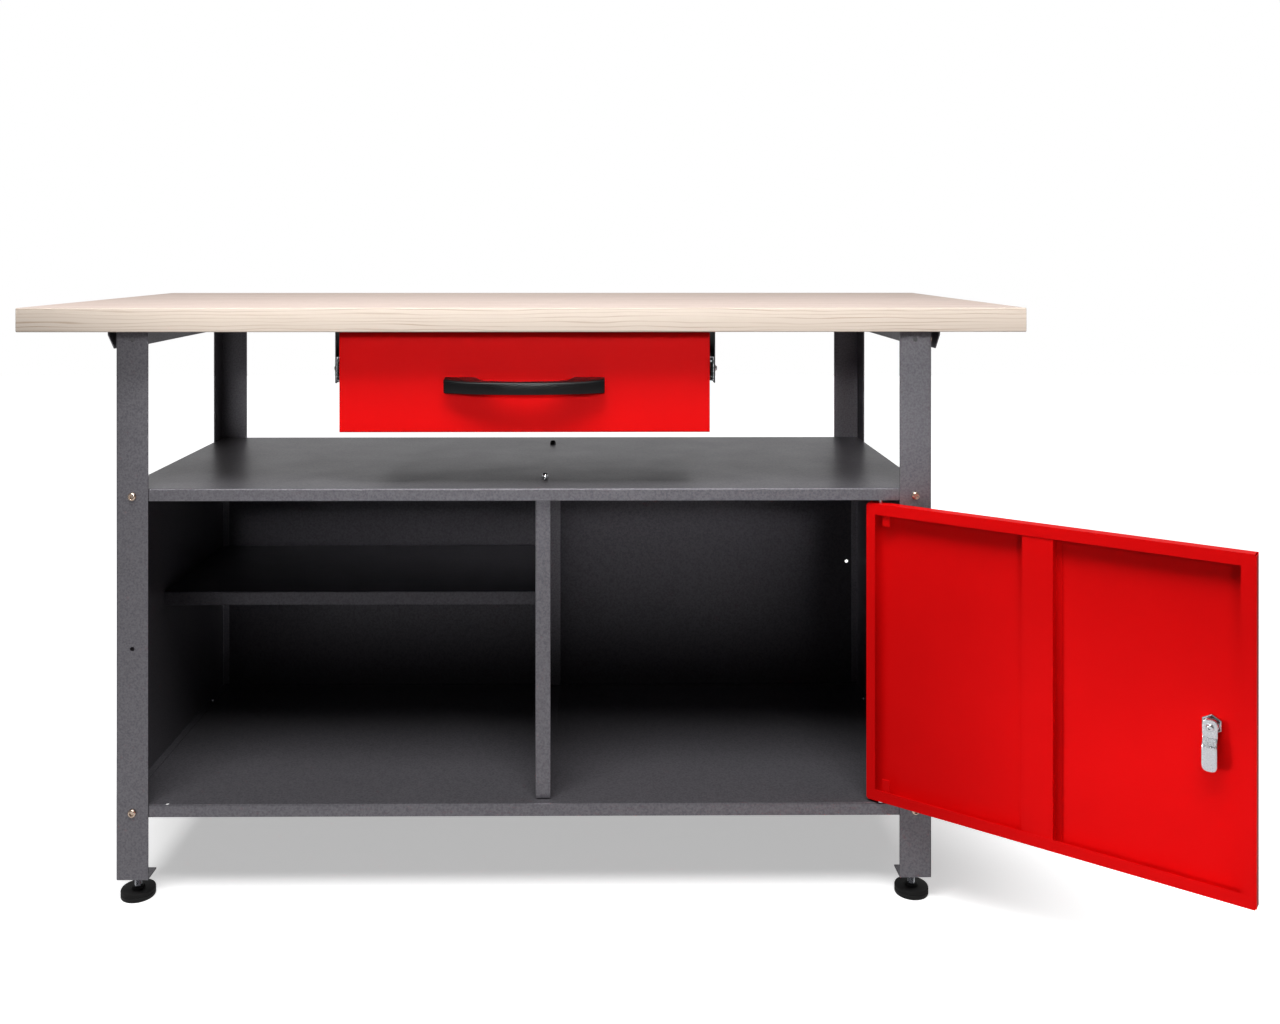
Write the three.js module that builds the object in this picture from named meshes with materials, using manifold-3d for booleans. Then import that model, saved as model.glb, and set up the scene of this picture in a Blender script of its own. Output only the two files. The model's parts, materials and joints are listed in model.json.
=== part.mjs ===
// Workbench with a hinged cabinet door, a drawer hung under the board and open shelves.
// Millimetres, +Z up. X runs along the bench and the front faces -Y. While the pieces are placed, X = 0 is
// the middle of the frame, Y = 0 is the front face of the legs and Z = 0 is the floor.
import * as THREE from 'three';
import { mergeVertices } from 'three/addons/utils/BufferGeometryUtils.js';
import Module from 'manifold-3d';

const wasm = await Module();
wasm.setup();

// Worktop board
const benchHeight = 850;
const worktopThickness = 33.5;
const worktopEase = 1.5;
const sideOverhang = 118.5;
const frontOverhang = 50;
const rearOverhang = 77;

// Frame of four angle legs
const frameWidth = 1163;
const frameDepth = 473;
const legFlange = 45.5;
const legSheet = 2;
const legInsideBend = 0.5;
const legClearOfFloor = 33;
const legHoleInset = 23;
const spareHoleHeight = 362;

// Top rails, inverted channels that straddle the side flanges of the legs
const railHeight = 28.5;
const railSheet = 2;
const railReach = 13.5;
const railSetback = 4;
const railChamfer = 21;

// Sheet pans of the cabinet
const panSheet = 1;
const panBend = 2;
const seamGap = 0.75;
const midShelfHeight = 589.5;
const bottomShelfHeight = 139;
const shelfLip = 17.5;
const shelfReturn = 12;
const panelFlange = 12;
const backFlange = 10;
const dividerMiddle = 25;
const dividerWidth = 22;
const dividerSetback = 16;
const dividerScrewDepths = [86, 393];
const dividerScrewHole = 2;
const innerShelfHeight = 393;
const innerShelfLip = 21;
const innerShelfSetback = 176;

// Drawer and its slides
const drawerFrontWidth = 529;
const drawerFrontHeight = 142.5;
const drawerTopGap = 4;
const drawerFrontDepth = 15;
const drawerFrontReturn = 10;
const trayWidth = 518;
const trayDepth = 385;
const trayHeight = 114;
const trayDrop = 6;
const slideThickness = 12.5;
const slideHeight = 35;
const slideLength = 380;
const slideSheet = 1.25;
const slideAboveTray = 65.5;
const ballDiameter = 4;
const ballsPerRow = 5;
const ballPitch = 20;
const drawerTravel = 280;
const hangerSheet = 1.5;
const hangerFlange = 20;
const hangerBelowSlide = 3;

// Bow handle on the drawer front
const handleLength = 228;
const handleReach = 37;
const handleEndHeight = 23.5;
const handleMiddleHeight = 18.5;
const handleBarThickness = 10;
const handleFootLength = 46;
const handleEndReach = 15;
const handleAboveFrontBottom = 56;
const handleEase = 1.5;

// Hinged door
const doorThickness = 19;
const doorOpenAngle = THREE.MathUtils.degToRad(143.5);
const doorBottomGap = 3.5;
const doorTopGap = 5;
const doorOverlapOnDivider = 3.5;
const doorStandOff = 0.5;
const doorStopGap = 0.5;
const doorHingeLip = 13;
const doorFreeLip = 17;
const doorEndLip = 15.5;
const stiffenerFromHinge = 240;
const stiffenerWidth = 40;
const stiffenerFlange = 8;

// Door hinge: two pins that turn in the shelf pans
const pinRadius = 2.5;
const pinSetback = 6.25;
const pinToHingeEdge = 18;
const pinHeadRadius = 4;
const pinHeadHeight = 3;
const pinThroughShelf = 5;
const pinCollarRadius = 5;
const tabSheet = 1.5;
const tabReach = 11;
const tabPastPin = 6;
const tabLugInset = 4.5;
const tabLugWidth = 11;
const tabLugLength = 30;

// Cam lock
const lockFromFreeEdge = 50.5;
const lockHeight = 349;
const lockBarrelRadius = 9;
const lockFlangeRadius = 11.5;
const lockFlangeThickness = 2;
const lockNutFlats = 21.5;
const lockNutThickness = 5;
const plugRadius = 6;
const keySlotWidth = 1.5;
const keySlotLength = 7;
const keySlotDepth = 4;
const camReach = 52;
const camHeel = 9;
const camWidth = 17;
const camThickness = 2;
const camBehindFlange = 0.75;
const camJoggle = 5;
const camJoggleStart = 16;
const camJoggleLength = 7;
const camScrewRadius = 2.5;
const camScrewHeadRadius = 4.5;
const camScrewHeadHeight = 2.25;
const camScrewDepth = 9;

// Levelling feet
const footDiscRadius = 24;
const footDiscHeight = 12;
const footDiscRim = 2.5;
const footHubRadius = 9;
const footHubHeight = 3;
const footInset = 23;
const studRadius = 5;
const studTop = 58;
const studSeat = 4;
const footPlateSheet = 2;
const footPlateDepth = 30;
const footNutFlats = 17;
const footNutHeight = 8;

// Bolts
const boltRadius = 3;
const boltHeadRadius = 6;
const boltHeadHeight = 3.5;
const boltNutRadius = 5.5;
const boltNutHeight = 5;
const boltDrop = 10.5;

// Clearances: between pieces that seat on each other, and between pieces that turn or slide
const seat = 0.25;
const running = 0.3;

// Places that follow from the sizes above
const worktopLength = frameWidth + 2 * sideOverhang;
const worktopUnderside = benchHeight - worktopThickness;
const legTop = worktopUnderside - railSheet - 2 * seat;
const legBend = legSheet + legInsideBend;
const frameHalf = frameWidth / 2;
const panHalf = frameHalf - legSheet - seat;
const panFront = legSheet + seat;
const panBack = frameDepth - legSheet - seat;
const legInnerEdge = frameHalf - legFlange;
const midLipBottom = midShelfHeight - shelfLip;
const dividerLeft = dividerMiddle - dividerWidth / 2;
const dividerRight = dividerMiddle + dividerWidth / 2;
const sideFloor = bottomShelfHeight + seat;
const footMiddle = frameHalf - footInset;

const materials = {
  laminate: new THREE.MeshStandardMaterial({ color: '#ecdcc8', roughness: 0.55, metalness: 0 }),
  hammertone: new THREE.MeshStandardMaterial({ color: '#5c5a5e', roughness: 0.5, metalness: 0.2 }),
  redEnamel: new THREE.MeshStandardMaterial({ color: '#d91518', roughness: 0.4, metalness: 0 }),
  blackSteel: new THREE.MeshStandardMaterial({ color: '#1b1b1d', roughness: 0.5, metalness: 0.2 }),
  blackPlastic: new THREE.MeshStandardMaterial({ color: '#17181a', roughness: 0.45, metalness: 0 }),
  zinc: new THREE.MeshStandardMaterial({ color: '#c3c6ca', roughness: 0.3, metalness: 1 }),
};

const bench = new THREE.Group();

// Solids

function toSolid(geometry) {
  const bare = geometry.clone();
  bare.deleteAttribute('normal');
  bare.deleteAttribute('uv');
  const merged = mergeVertices(bare, 1e-4);
  const vertProperties = merged.attributes.position.array;
  const triVerts = new Uint32Array(merged.index.array);
  return new wasm.Manifold(new wasm.Mesh({ numProp: 3, vertProperties, triVerts }));
}

function toGeometry(solid) {
  const mesh = solid.getMesh();
  const geometry = new THREE.BufferGeometry();
  geometry.setAttribute('position', new THREE.BufferAttribute(mesh.vertProperties, 3));
  geometry.setIndex(new THREE.BufferAttribute(mesh.triVerts, 1));
  return geometry;
}

function addPiece(group, name, shape, material) {
  const geometry = shape.isBufferGeometry ? shape : toGeometry(shape);
  const mesh = new THREE.Mesh(geometry, material);
  mesh.name = name;
  group.add(mesh);
  return mesh;
}

function block(low, high) {
  const size = high.map((value, axis) => value - low[axis]);
  const geometry = new THREE.BoxGeometry(...size);
  geometry.translate(...low.map((value, axis) => value + size[axis] / 2));
  return toSolid(geometry);
}

// A shape drawn in two axes and extruded along the third: along X it is drawn in Y and Z, along Y in X and
// Z, and along Z in X and Y.
function prismGeometry(shape, axis, from, to, bevel = 0) {
  const geometry = new THREE.ExtrudeGeometry(shape, {
    depth: to - from - 2 * bevel,
    bevelEnabled: bevel > 0,
    bevelThickness: bevel,
    bevelSize: bevel,
    bevelOffset: -bevel,
    bevelSegments: 2,
    curveSegments: 6,
  });
  geometry.translate(0, 0, bevel);
  const basis = new THREE.Matrix4();
  if (axis === 'x') {
    basis.makeBasis(new THREE.Vector3(0, 1, 0), new THREE.Vector3(0, 0, 1), new THREE.Vector3(1, 0, 0));
    geometry.applyMatrix4(basis);
    geometry.translate(from, 0, 0);
  } else if (axis === 'y') {
    basis.makeBasis(new THREE.Vector3(1, 0, 0), new THREE.Vector3(0, 0, 1), new THREE.Vector3(0, -1, 0));
    geometry.applyMatrix4(basis);
    geometry.translate(0, to, 0);
  } else {
    geometry.translate(0, 0, from);
  }
  return geometry;
}

function prism(shape, axis, from, to, bevel = 0) {
  return toSolid(prismGeometry(shape, axis, from, to, bevel));
}

// A round rod along an axis, centred on the other two coordinates of its place.
function rod(radius, axis, from, to, place, sides = 16) {
  const circle = new THREE.Shape();
  circle.absarc(...place, radius, 0, 2 * Math.PI);
  const points = circle.getPoints(sides / 2).slice(0, -1);
  return prism(new THREE.Shape(points), axis, from, to);
}

function hexagon(flats, x = 0, y = 0) {
  const corner = flats / Math.sqrt(3);
  const points = [];
  for (let side = 0; side < 6; side += 1) {
    const angle = Math.PI / 6 + (side * Math.PI) / 3;
    points.push(new THREE.Vector2(x + corner * Math.cos(angle), y + corner * Math.sin(angle)));
  }
  return new THREE.Shape(points);
}

function rectangle(x0, x1, y0, y1) {
  const corners = [[x0, y0], [x1, y0], [x1, y1], [x0, y1]];
  return new THREE.Shape(corners.map((corner) => new THREE.Vector2(...corner)));
}

function polygon(corners) {
  return new THREE.Shape(corners.map((corner) => new THREE.Vector2(...corner)));
}

function mirrorX(geometry) {
  const flipped = geometry.clone();
  flipped.scale(-1, 1, 1);
  const index = flipped.index.array;
  for (let corner = 0; corner < index.length; corner += 3) {
    const kept = index[corner];
    index[corner] = index[corner + 1];
    index[corner + 1] = kept;
  }
  return flipped;
}

function mirrorY(geometry) {
  const flipped = mirrorX(geometry);
  flipped.rotateZ(Math.PI);
  return flipped;
}

// Folded sheet. The face lies at Z = 0 and the walls rise along +Z from its four sides. Each wall may have
// a return folded inwards along its free edge. The corners are open seams, as bent sheet has.
function foldedPan({ width, height, depth, sheet = panSheet, bend = panBend, returns = {} }) {
  const halfWidth = width / 2;
  const halfHeight = height / 2;
  const outline = rectangle(-halfWidth, halfWidth, -halfHeight, halfHeight);
  let pan = prism(outline, 'z', 0, depth + bend, bend);
  const top = returns.any ? depth : depth + 2 * bend;
  pan = pan.subtract(block([-width, -height, depth], [width, height, depth + 2 * bend]));
  const innerTop = returns.any ? depth - sheet : top;
  const inner = rectangle(sheet - halfWidth, halfWidth - sheet, sheet - halfHeight, halfHeight - sheet);
  const bendInside = Math.max(bend - sheet, 0.25);
  let hollow = prism(inner, 'z', sheet, innerTop + 2 * bendInside, bendInside);
  if (returns.any) {
    hollow = hollow.intersect(block([-width, -height, 0], [width, height, innerTop]));
    const { left = sheet, right = sheet, low = sheet, high = sheet } = returns;
    const window = block(
      [left - halfWidth, low - halfHeight, innerTop - sheet],
      [halfWidth - right, halfHeight - high, depth + sheet],
    );
    hollow = hollow.add(window);
  }
  pan = pan.subtract(hollow);
  const notch = sheet + seamGap;
  for (const sideX of [-1, 1]) {
    for (const sideY of [-1, 1]) {
      const xs = [sideX * (halfWidth - notch), sideX * (halfWidth + notch)].sort((a, b) => a - b);
      const ys = [sideY * (halfHeight - notch), sideY * (halfHeight + notch)].sort((a, b) => a - b);
      pan = pan.subtract(block([xs[0], ys[0], bend + sheet], [xs[1], ys[1], depth + sheet]));
    }
  }
  return pan;
}

// Worktop: a board with eased edges.
function makeWorktop() {
  const half = worktopLength / 2;
  const outline = rectangle(-half, half, -frontOverhang, frameDepth + rearOverhang);
  const board = prismGeometry(outline, 'z', worktopUnderside, benchHeight, worktopEase);
  addPiece(bench, 'worktop', toSolid(board), materials.laminate);
}

// Legs: an L section with its corner at the front left, mirrored for the other three.
function legSection() {
  const section = new THREE.Shape();
  section.moveTo(legBend, 0);
  section.lineTo(legFlange, 0);
  section.lineTo(legFlange, legSheet);
  section.lineTo(legBend, legSheet);
  section.absarc(legBend, legBend, legBend - legSheet, -Math.PI / 2, -Math.PI, true);
  section.lineTo(legSheet, legFlange);
  section.lineTo(0, legFlange);
  section.lineTo(0, legBend);
  section.absarc(legBend, legBend, legBend, Math.PI, 1.5 * Math.PI, false);
  return section;
}

const shelfBoltHeights = [midShelfHeight - boltDrop, bottomShelfHeight - boltDrop];
const railBoltHeight = worktopUnderside - railHeight / 2;

function makeLegs() {
  let leg = prism(legSection(), 'z', legClearOfFloor, legTop);
  const holeRadius = boltRadius + seat;
  for (const height of [...shelfBoltHeights, spareHoleHeight, railBoltHeight]) {
    leg = leg.subtract(rod(holeRadius, 'y', -1, legSheet + 1, [legHoleInset, height], 12));
    leg = leg.subtract(rod(holeRadius, 'x', -1, legSheet + 1, [legHoleInset, height], 12));
  }
  const frontLeft = toGeometry(leg);
  const rearLeft = mirrorY(frontLeft);
  const corners = [
    ['leg_front_left', frontLeft, -frameHalf, 0],
    ['leg_front_right', mirrorX(frontLeft), frameHalf, 0],
    ['leg_rear_left', rearLeft, -frameHalf, frameDepth],
    ['leg_rear_right', mirrorX(rearLeft), frameHalf, frameDepth],
  ];
  for (const [name, geometry, x, y] of corners) {
    addPiece(bench, name, geometry, materials.hammertone).position.set(x, y, 0);
  }
}

// Top rails: a channel that opens downwards, with the outer wall cut at 45 degrees at both ends.
function makeTopRails() {
  const top = worktopUnderside - seat;
  const bottom = top - railHeight;
  const inner = frameHalf - legSheet - seat - railSheet;
  const outer = frameHalf + railReach;
  const section = polygon([
    [inner, bottom], [inner + railSheet, bottom], [inner + railSheet, top - railSheet],
    [outer - railSheet, top - railSheet], [outer - railSheet, bottom], [outer, bottom],
    [outer, top - panBend / 2], [outer - panBend / 2, top],
    [inner + panBend / 2, top], [inner, top - panBend / 2],
  ]);
  let rail = prism(section, 'y', railSetback, frameDepth - railSetback);
  const ends = [[railSetback, 1], [frameDepth - railSetback, -1]];
  for (const [end, inward] of ends) {
    const corner = polygon([
      [end - inward, bottom - 1], [end + inward * (railChamfer + 1), bottom - 1],
      [end - inward, bottom + railChamfer + 1],
    ]);
    rail = rail.subtract(prism(corner, 'x', outer - railSheet - 1, outer + 1));
  }
  const boltHole = boltRadius + seat;
  for (const place of [legHoleInset, frameDepth - legHoleInset]) {
    rail = rail.subtract(rod(boltHole, 'x', inner - 1, inner + railSheet + 1, [place, railBoltHeight], 12));
  }
  const right = toGeometry(rail);
  addPiece(bench, 'top_rail_left', mirrorX(right), materials.hammertone);
  addPiece(bench, 'top_rail_right', right, materials.hammertone);
}

// Shelf pans: the face is on top, and the front and rear lips have a return below. The door pins turn in
// the face of the bottom shelf and in the front return of the mid shelf.
const panMiddle = (panFront + panBack) / 2;
const pinToFront = pinSetback + doorThickness - (dividerSetback - doorStandOff);
const stopReach = pinToFront + doorStopGap - pinSetback * Math.cos(doorOpenAngle);
const pinToLegEdge = stopReach / Math.sin(doorOpenAngle);
const pinX = legInnerEdge - pinToLegEdge;

function shelfPan() {
  const returns = { any: true, low: shelfReturn, high: shelfReturn };
  return foldedPan({ width: 2 * panHalf, height: panBack - panFront, depth: shelfLip, returns });
}

function makeShelves() {
  const pinHole = pinRadius + seat;
  const boltHole = boltRadius + seat;
  const pinY = panMiddle - pinSetback;
  const shelves = [
    ['mid_shelf', midShelfHeight, shelfLip - 2 * panSheet, shelfLip + 1],
    ['bottom_shelf', bottomShelfHeight, -1, 2 * panSheet],
  ];
  for (const [name, height, holeFrom, holeTo] of shelves) {
    let pan = shelfPan();
    for (const side of [-1, 1]) {
      pan = pan.subtract(rod(pinHole, 'z', holeFrom, holeTo, [side * pinX, pinY], 16));
      const boltX = side * (frameHalf - legHoleInset);
      const boltHoles = rod(boltHole, 'y', -panBack, panBack, [boltX, boltDrop], 12);
      pan = pan.subtract(boltHoles);
    }
    if (name === 'mid_shelf') {
      for (const depth of dividerScrewDepths) {
        const place = [dividerMiddle, panMiddle - depth];
        pan = pan.subtract(rod(dividerScrewHole, 'z', -1, 2 * panSheet, place, 12));
      }
    }
    const mesh = addPiece(bench, name, pan, materials.hammertone);
    mesh.rotation.x = Math.PI;
    mesh.position.set(0, panMiddle, height);
  }
}

// Inner shelf of the left compartment, half as deep as the cabinet.
function makeInnerShelf() {
  const left = panSheet + seat - panHalf;
  const right = dividerLeft - seat;
  const back = panBack - 2 * panSheet - 2 * seat;
  const pan = foldedPan({ width: right - left, height: back - innerShelfSetback, depth: innerShelfLip });
  const mesh = addPiece(bench, 'inner_shelf', pan, materials.hammertone);
  mesh.rotation.x = Math.PI;
  mesh.position.set((left + right) / 2, (innerShelfSetback + back) / 2, innerShelfHeight);
}

// Side panels and divider: upright trays whose flanges point to the inside.
function makeUprights() {
  const panelBack = panBack - panSheet - seat;
  const panelTop = midLipBottom - seat;
  const panelSize = { width: panelTop - sideFloor, height: panelBack - panFront, depth: panelFlange };
  for (const [name, side] of [['side_panel_left', -1], ['side_panel_right', 1]]) {
    const mesh = addPiece(bench, name, foldedPan(panelSize), materials.hammertone);
    mesh.rotation.y = (-side * Math.PI) / 2;
    mesh.position.set(side * panHalf, (panFront + panelBack) / 2, (sideFloor + panelTop) / 2);
  }
  const dividerBack = panBack - shelfReturn - seat;
  const dividerTop = midShelfHeight - panSheet - seat;
  const dividerHeight = dividerTop - sideFloor;
  const dividerDepth = dividerBack - dividerSetback;
  const dividerCentre = (dividerSetback + dividerBack) / 2;
  let pan = foldedPan({ width: dividerHeight, height: dividerDepth, depth: dividerWidth });
  for (const depth of dividerScrewDepths) {
    const place = [depth - dividerCentre, dividerWidth / 2];
    pan = pan.subtract(rod(dividerScrewHole, 'x', -dividerHeight, panBend - dividerHeight / 2, place, 12));
  }
  const divider = addPiece(bench, 'divider', pan, materials.hammertone);
  divider.rotation.y = Math.PI / 2;
  divider.position.set(dividerLeft, dividerCentre, (sideFloor + dividerTop) / 2);
}

// Back panel: a sheet whose top and bottom edges are folded backwards between the rear legs. It has a hole
// over the spare hole of each rear leg.
function makeBackPanel() {
  const top = midLipBottom - seat;
  const section = polygon([
    [panBack - panSheet, sideFloor], [panBack + backFlange, sideFloor],
    [panBack + backFlange, sideFloor + panSheet], [panBack, sideFloor + panSheet],
    [panBack, top - panSheet], [panBack + backFlange, top - panSheet],
    [panBack + backFlange, top], [panBack - panSheet, top],
  ]);
  const flangeHalf = legInnerEdge - 2 * panBend;
  let panel = prism(section, 'x', -flangeHalf, flangeHalf);
  panel = panel.add(block([-panHalf, panBack - panSheet, sideFloor], [panHalf, panBack, top]));
  for (const side of [-1, 1]) {
    const place = [side * (frameHalf - legHoleInset), spareHoleHeight];
    panel = panel.subtract(rod(boltRadius + seat, 'y', panBack - 2 * panSheet, panBack + 1, place, 12));
  }
  addPiece(bench, 'back_panel', panel, materials.hammertone);
}

// Drawer: everything that slides is placed in a group whose origin is on the middle of the front's lower
// edge.
const drawer = new THREE.Group();
bench.add(drawer);
const drawerBottom = worktopUnderside - drawerTopGap - drawerFrontHeight;
drawer.position.set(0, 0, drawerBottom);
const trayFront = drawerFrontDepth + seat;
const slideMiddle = trayDrop + slideAboveTray + slideHeight / 2;
const slideFront = trayFront + seat;
const slideFace = trayWidth / 2 + seat;

function makeDrawerBox() {
  const returnWidth = drawerFrontReturn;
  const front = foldedPan({
    width: drawerFrontWidth,
    height: drawerFrontHeight,
    depth: drawerFrontDepth,
    returns: { any: true, left: returnWidth, right: returnWidth, low: returnWidth, high: returnWidth },
  });
  const frontMesh = addPiece(drawer, 'drawer_front', front, materials.redEnamel);
  frontMesh.rotation.x = -Math.PI / 2;
  frontMesh.position.set(0, 0, drawerFrontHeight / 2);
  const tray = foldedPan({ width: trayWidth, height: trayDepth, depth: trayHeight });
  const trayMesh = addPiece(drawer, 'drawer_tray', tray, materials.blackSteel);
  trayMesh.position.set(0, trayFront + trayDepth / 2, trayDrop);
}

// Bow handle: the plan of the bow, cut to the shape that it shows from the front.
function makeHandle() {
  const half = handleLength / 2;
  const foot = half - handleFootLength;
  const grip = handleReach - handleBarThickness;
  const plan = new THREE.Shape();
  plan.moveTo(-half, 0);
  plan.lineTo(-half, -handleEndReach);
  plan.quadraticCurveTo(-foot, -handleReach, 0, -handleReach);
  plan.quadraticCurveTo(foot, -handleReach, half, -handleEndReach);
  plan.lineTo(half, 0);
  plan.lineTo(foot, 0);
  plan.quadraticCurveTo(foot * 0.75, -grip, 0, -grip);
  plan.quadraticCurveTo(-foot * 0.75, -grip, -foot, 0);
  const bow = prism(plan, 'z', 0, handleEndHeight, handleEase);
  const front = new THREE.Shape();
  front.moveTo(-half - 1, -1);
  front.lineTo(half + 1, -1);
  front.lineTo(half + 1, handleEndHeight + 1);
  front.lineTo(half, handleEndHeight);
  front.quadraticCurveTo(foot, handleMiddleHeight, 0, handleMiddleHeight);
  front.quadraticCurveTo(-foot, handleMiddleHeight, -half, handleEndHeight);
  front.lineTo(-half - 1, handleEndHeight + 1);
  const handle = bow.intersect(prism(front, 'y', -handleReach - 1, 1));
  const mesh = addPiece(drawer, 'drawer_handle', handle, materials.blackPlastic);
  mesh.position.set(0, -seat, handleAboveFrontBottom);
}

// Ball slides. Sections are drawn for the right side in X and Z, with X = 0 on the drawer's side wall and
// Z = 0 at the middle of the slide. The outer member opens towards the drawer, the inner member nests in it,
// and the cage holds two rows of balls between their flanges.
function channel(mouth, web, halfHeight, sheet) {
  const inward = Math.sign(mouth - web);
  return polygon([
    [web, -halfHeight], [mouth, -halfHeight], [mouth, sheet - halfHeight],
    [web + inward * sheet, sheet - halfHeight], [web + inward * sheet, halfHeight - sheet],
    [mouth, halfHeight - sheet], [mouth, halfHeight], [web, halfHeight],
  ]);
}

function makeSlides() {
  const outerHalf = slideHeight / 2;
  const ballRow = outerHalf - slideSheet - running / 2 - ballDiameter / 2;
  const innerHalf = ballRow - ballDiameter / 2 - running / 2;
  const cageSheet = slideSheet / 2;
  const cageWeb = slideThickness - slideSheet - running;
  const innerMouth = cageWeb - cageSheet - running;
  const ballX = slideThickness / 2;
  const slideEnd = slideFront + slideLength;
  const outerSection = channel(2 * slideSheet, slideThickness, outerHalf, slideSheet);
  const outer = prism(outerSection, 'y', slideFront, slideEnd);
  const inner = prism(channel(innerMouth, 0, innerHalf, slideSheet), 'y', slideFront, slideEnd);
  const cageStart = slideFront + drawerTravel / 2 + ballPitch / 2;
  const cageLength = ballsPerRow * ballPitch;
  const cageHalf = ballRow + cageSheet / 2;
  const cageSection = channel(ballX - ballDiameter / 2, cageWeb, cageHalf, cageSheet);
  let cage = prism(cageSection, 'y', cageStart, cageStart + cageLength);
  for (let ball = 0; ball < ballsPerRow; ball += 1) {
    for (const side of [-1, 1]) {
      const sphere = new THREE.SphereGeometry(ballDiameter / 2, 8, 6);
      sphere.translate(ballX, cageStart + (ball + 0.5) * ballPitch, side * ballRow);
      cage = cage.add(toSolid(sphere));
    }
  }
  const members = [['slide_outer', outer], ['slide_inner', inner], ['slide_cage', cage]];
  for (const [name, solid] of members) {
    const right = toGeometry(solid);
    const left = mirrorX(right);
    addPiece(drawer, `${name}_left`, left, materials.zinc).position.set(-slideFace, 0, slideMiddle);
    addPiece(drawer, `${name}_right`, right, materials.zinc).position.set(slideFace, 0, slideMiddle);
  }
}

// Hangers: angles screwed under the board that carry the outer slide members.
function makeHangers() {
  const plate = slideFace + slideThickness + seat;
  const bottom = drawerBottom + slideMiddle - slideHeight / 2 - hangerBelowSlide;
  const top = worktopUnderside - seat;
  const section = polygon([
    [plate, bottom], [plate + hangerSheet, bottom], [plate + hangerSheet, top - hangerSheet],
    [plate + hangerFlange, top - hangerSheet], [plate + hangerFlange, top], [plate, top],
  ]);
  const right = toGeometry(prism(section, 'y', slideFront, slideFront + slideLength));
  addPiece(bench, 'drawer_hanger_left', mirrorX(right), materials.blackSteel);
  addPiece(bench, 'drawer_hanger_right', right, materials.blackSteel);
}

// Door: placed closed in a group whose Z axis is the hinge, with the hinge edge towards +X, then swung
// open.
const door = new THREE.Group();
bench.add(door);
door.position.set(pinX, pinSetback, 0);
door.rotation.z = doorOpenAngle;
const doorBottom = bottomShelfHeight + doorBottomGap;
const doorTop = midLipBottom - doorTopGap;
const doorFront = -pinToFront;
const doorBack = doorFront + doorThickness;
const doorFreeEdge = dividerRight - doorOverlapOnDivider - pinX;
const doorWidth = pinToHingeEdge - doorFreeEdge;
const lockX = doorFreeEdge + lockFromFreeEdge;

function makeDoorPanel() {
  const doorHeight = doorTop - doorBottom;
  const middle = (pinToHingeEdge + doorFreeEdge) / 2;
  let panel = foldedPan({
    width: doorWidth,
    height: doorHeight,
    depth: doorThickness,
    returns: { any: true, left: doorFreeLip, right: doorHingeLip, low: doorEndLip, high: doorEndLip },
  });
  const pinY = -doorFront;
  panel = panel.subtract(rod(pinRadius + running, 'y', -doorHeight, doorHeight, [-middle, pinY]));
  const lockY = (doorTop + doorBottom) / 2 - lockHeight;
  panel = panel.subtract(rod(lockBarrelRadius + running, 'z', -1, 2 * panSheet, [lockX - middle, lockY]));
  const mesh = addPiece(door, 'door_panel', panel, materials.redEnamel);
  mesh.rotation.x = -Math.PI / 2;
  mesh.position.set(middle, doorFront, (doorTop + doorBottom) / 2);
}

// Stiffener: a hat channel between the front sheet and the returns.
function makeStiffener() {
  const crown = doorBack - panSheet - running;
  const base = doorFront + panSheet + running;
  const middle = pinToHingeEdge - stiffenerFromHinge;
  const half = stiffenerWidth / 2;
  const right = [
    [half + stiffenerFlange, base], [half + stiffenerFlange, base + panSheet],
    [half, base + panSheet], [half, crown],
  ];
  const inside = [[half - panSheet, base], [half - panSheet, crown - panSheet]];
  const mirrored = (points) => points.map(([x, y]) => [-x, y]).reverse();
  const otherInside = mirrored(inside).reverse();
  const outline = [...inside.slice().reverse(), ...right, ...mirrored(right), ...otherInside];
  const section = polygon(outline.map(([x, y]) => [x + middle, y]));
  const low = doorBottom + panSheet + running;
  const high = doorTop - panSheet - running;
  addPiece(door, 'door_stiffener', prism(section, 'z', low, high), materials.redEnamel);
}

// Hinge tabs, bent from strip, and the pins that they hold. A tab is a plate on the inside of the door's end
// wall with a lug bent along the door. Both pieces are drawn for the top hinge with Z = 0 on the inside of
// that wall, and turned over for the bottom one.
function makeHinges() {
  const seatZ = -running;
  const wall = tabReach / 2;
  const lugEnd = -tabLugInset - tabLugWidth;
  const plate = block([lugEnd, -wall, seatZ - tabSheet], [tabPastPin, wall, seatZ]);
  const lug = block([lugEnd, wall - tabSheet, seatZ - tabLugLength], [-tabLugInset, wall, seatZ]);
  const pinBore = rod(pinRadius + running, 'z', seatZ - 2 * tabSheet, 1, [0, 0]);
  const topTab = toGeometry(plate.add(lug).subtract(pinBore));
  const headTop = seatZ - tabSheet - running;
  const hinges = [
    ['top', doorTop - panSheet, 0, doorTopGap + panSheet + pinThroughShelf, 0],
    ['bottom', doorBottom + panSheet, Math.PI, doorBottomGap + panSheet + pinThroughShelf, doorBottomGap],
  ];
  for (const [place, height, turn, reach, collar] of hinges) {
    const tab = turn === 0 ? topTab : mirrorX(topTab);
    const tabMesh = addPiece(door, `hinge_tab_${place}`, tab, materials.redEnamel);
    tabMesh.rotation.y = turn;
    tabMesh.position.set(0, 0, height);
    const profile = [[0, headTop - pinHeadHeight], [pinHeadRadius, headTop - pinHeadHeight]];
    profile.push([pinHeadRadius, headTop], [pinRadius, headTop]);
    if (collar > 0) {
      const collarLow = panSheet + running;
      const collarHigh = panSheet + collar - running;
      profile.push([pinRadius, collarLow], [pinCollarRadius, collarLow]);
      profile.push([pinCollarRadius, collarHigh], [pinRadius, collarHigh]);
    }
    profile.push([pinRadius, reach], [0, reach]);
    const pinMesh = addPiece(door, `hinge_pin_${place}`, turned(profile, 16), materials.zinc);
    pinMesh.rotation.y = turn;
    pinMesh.position.set(0, 0, height);
  }
}

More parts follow.
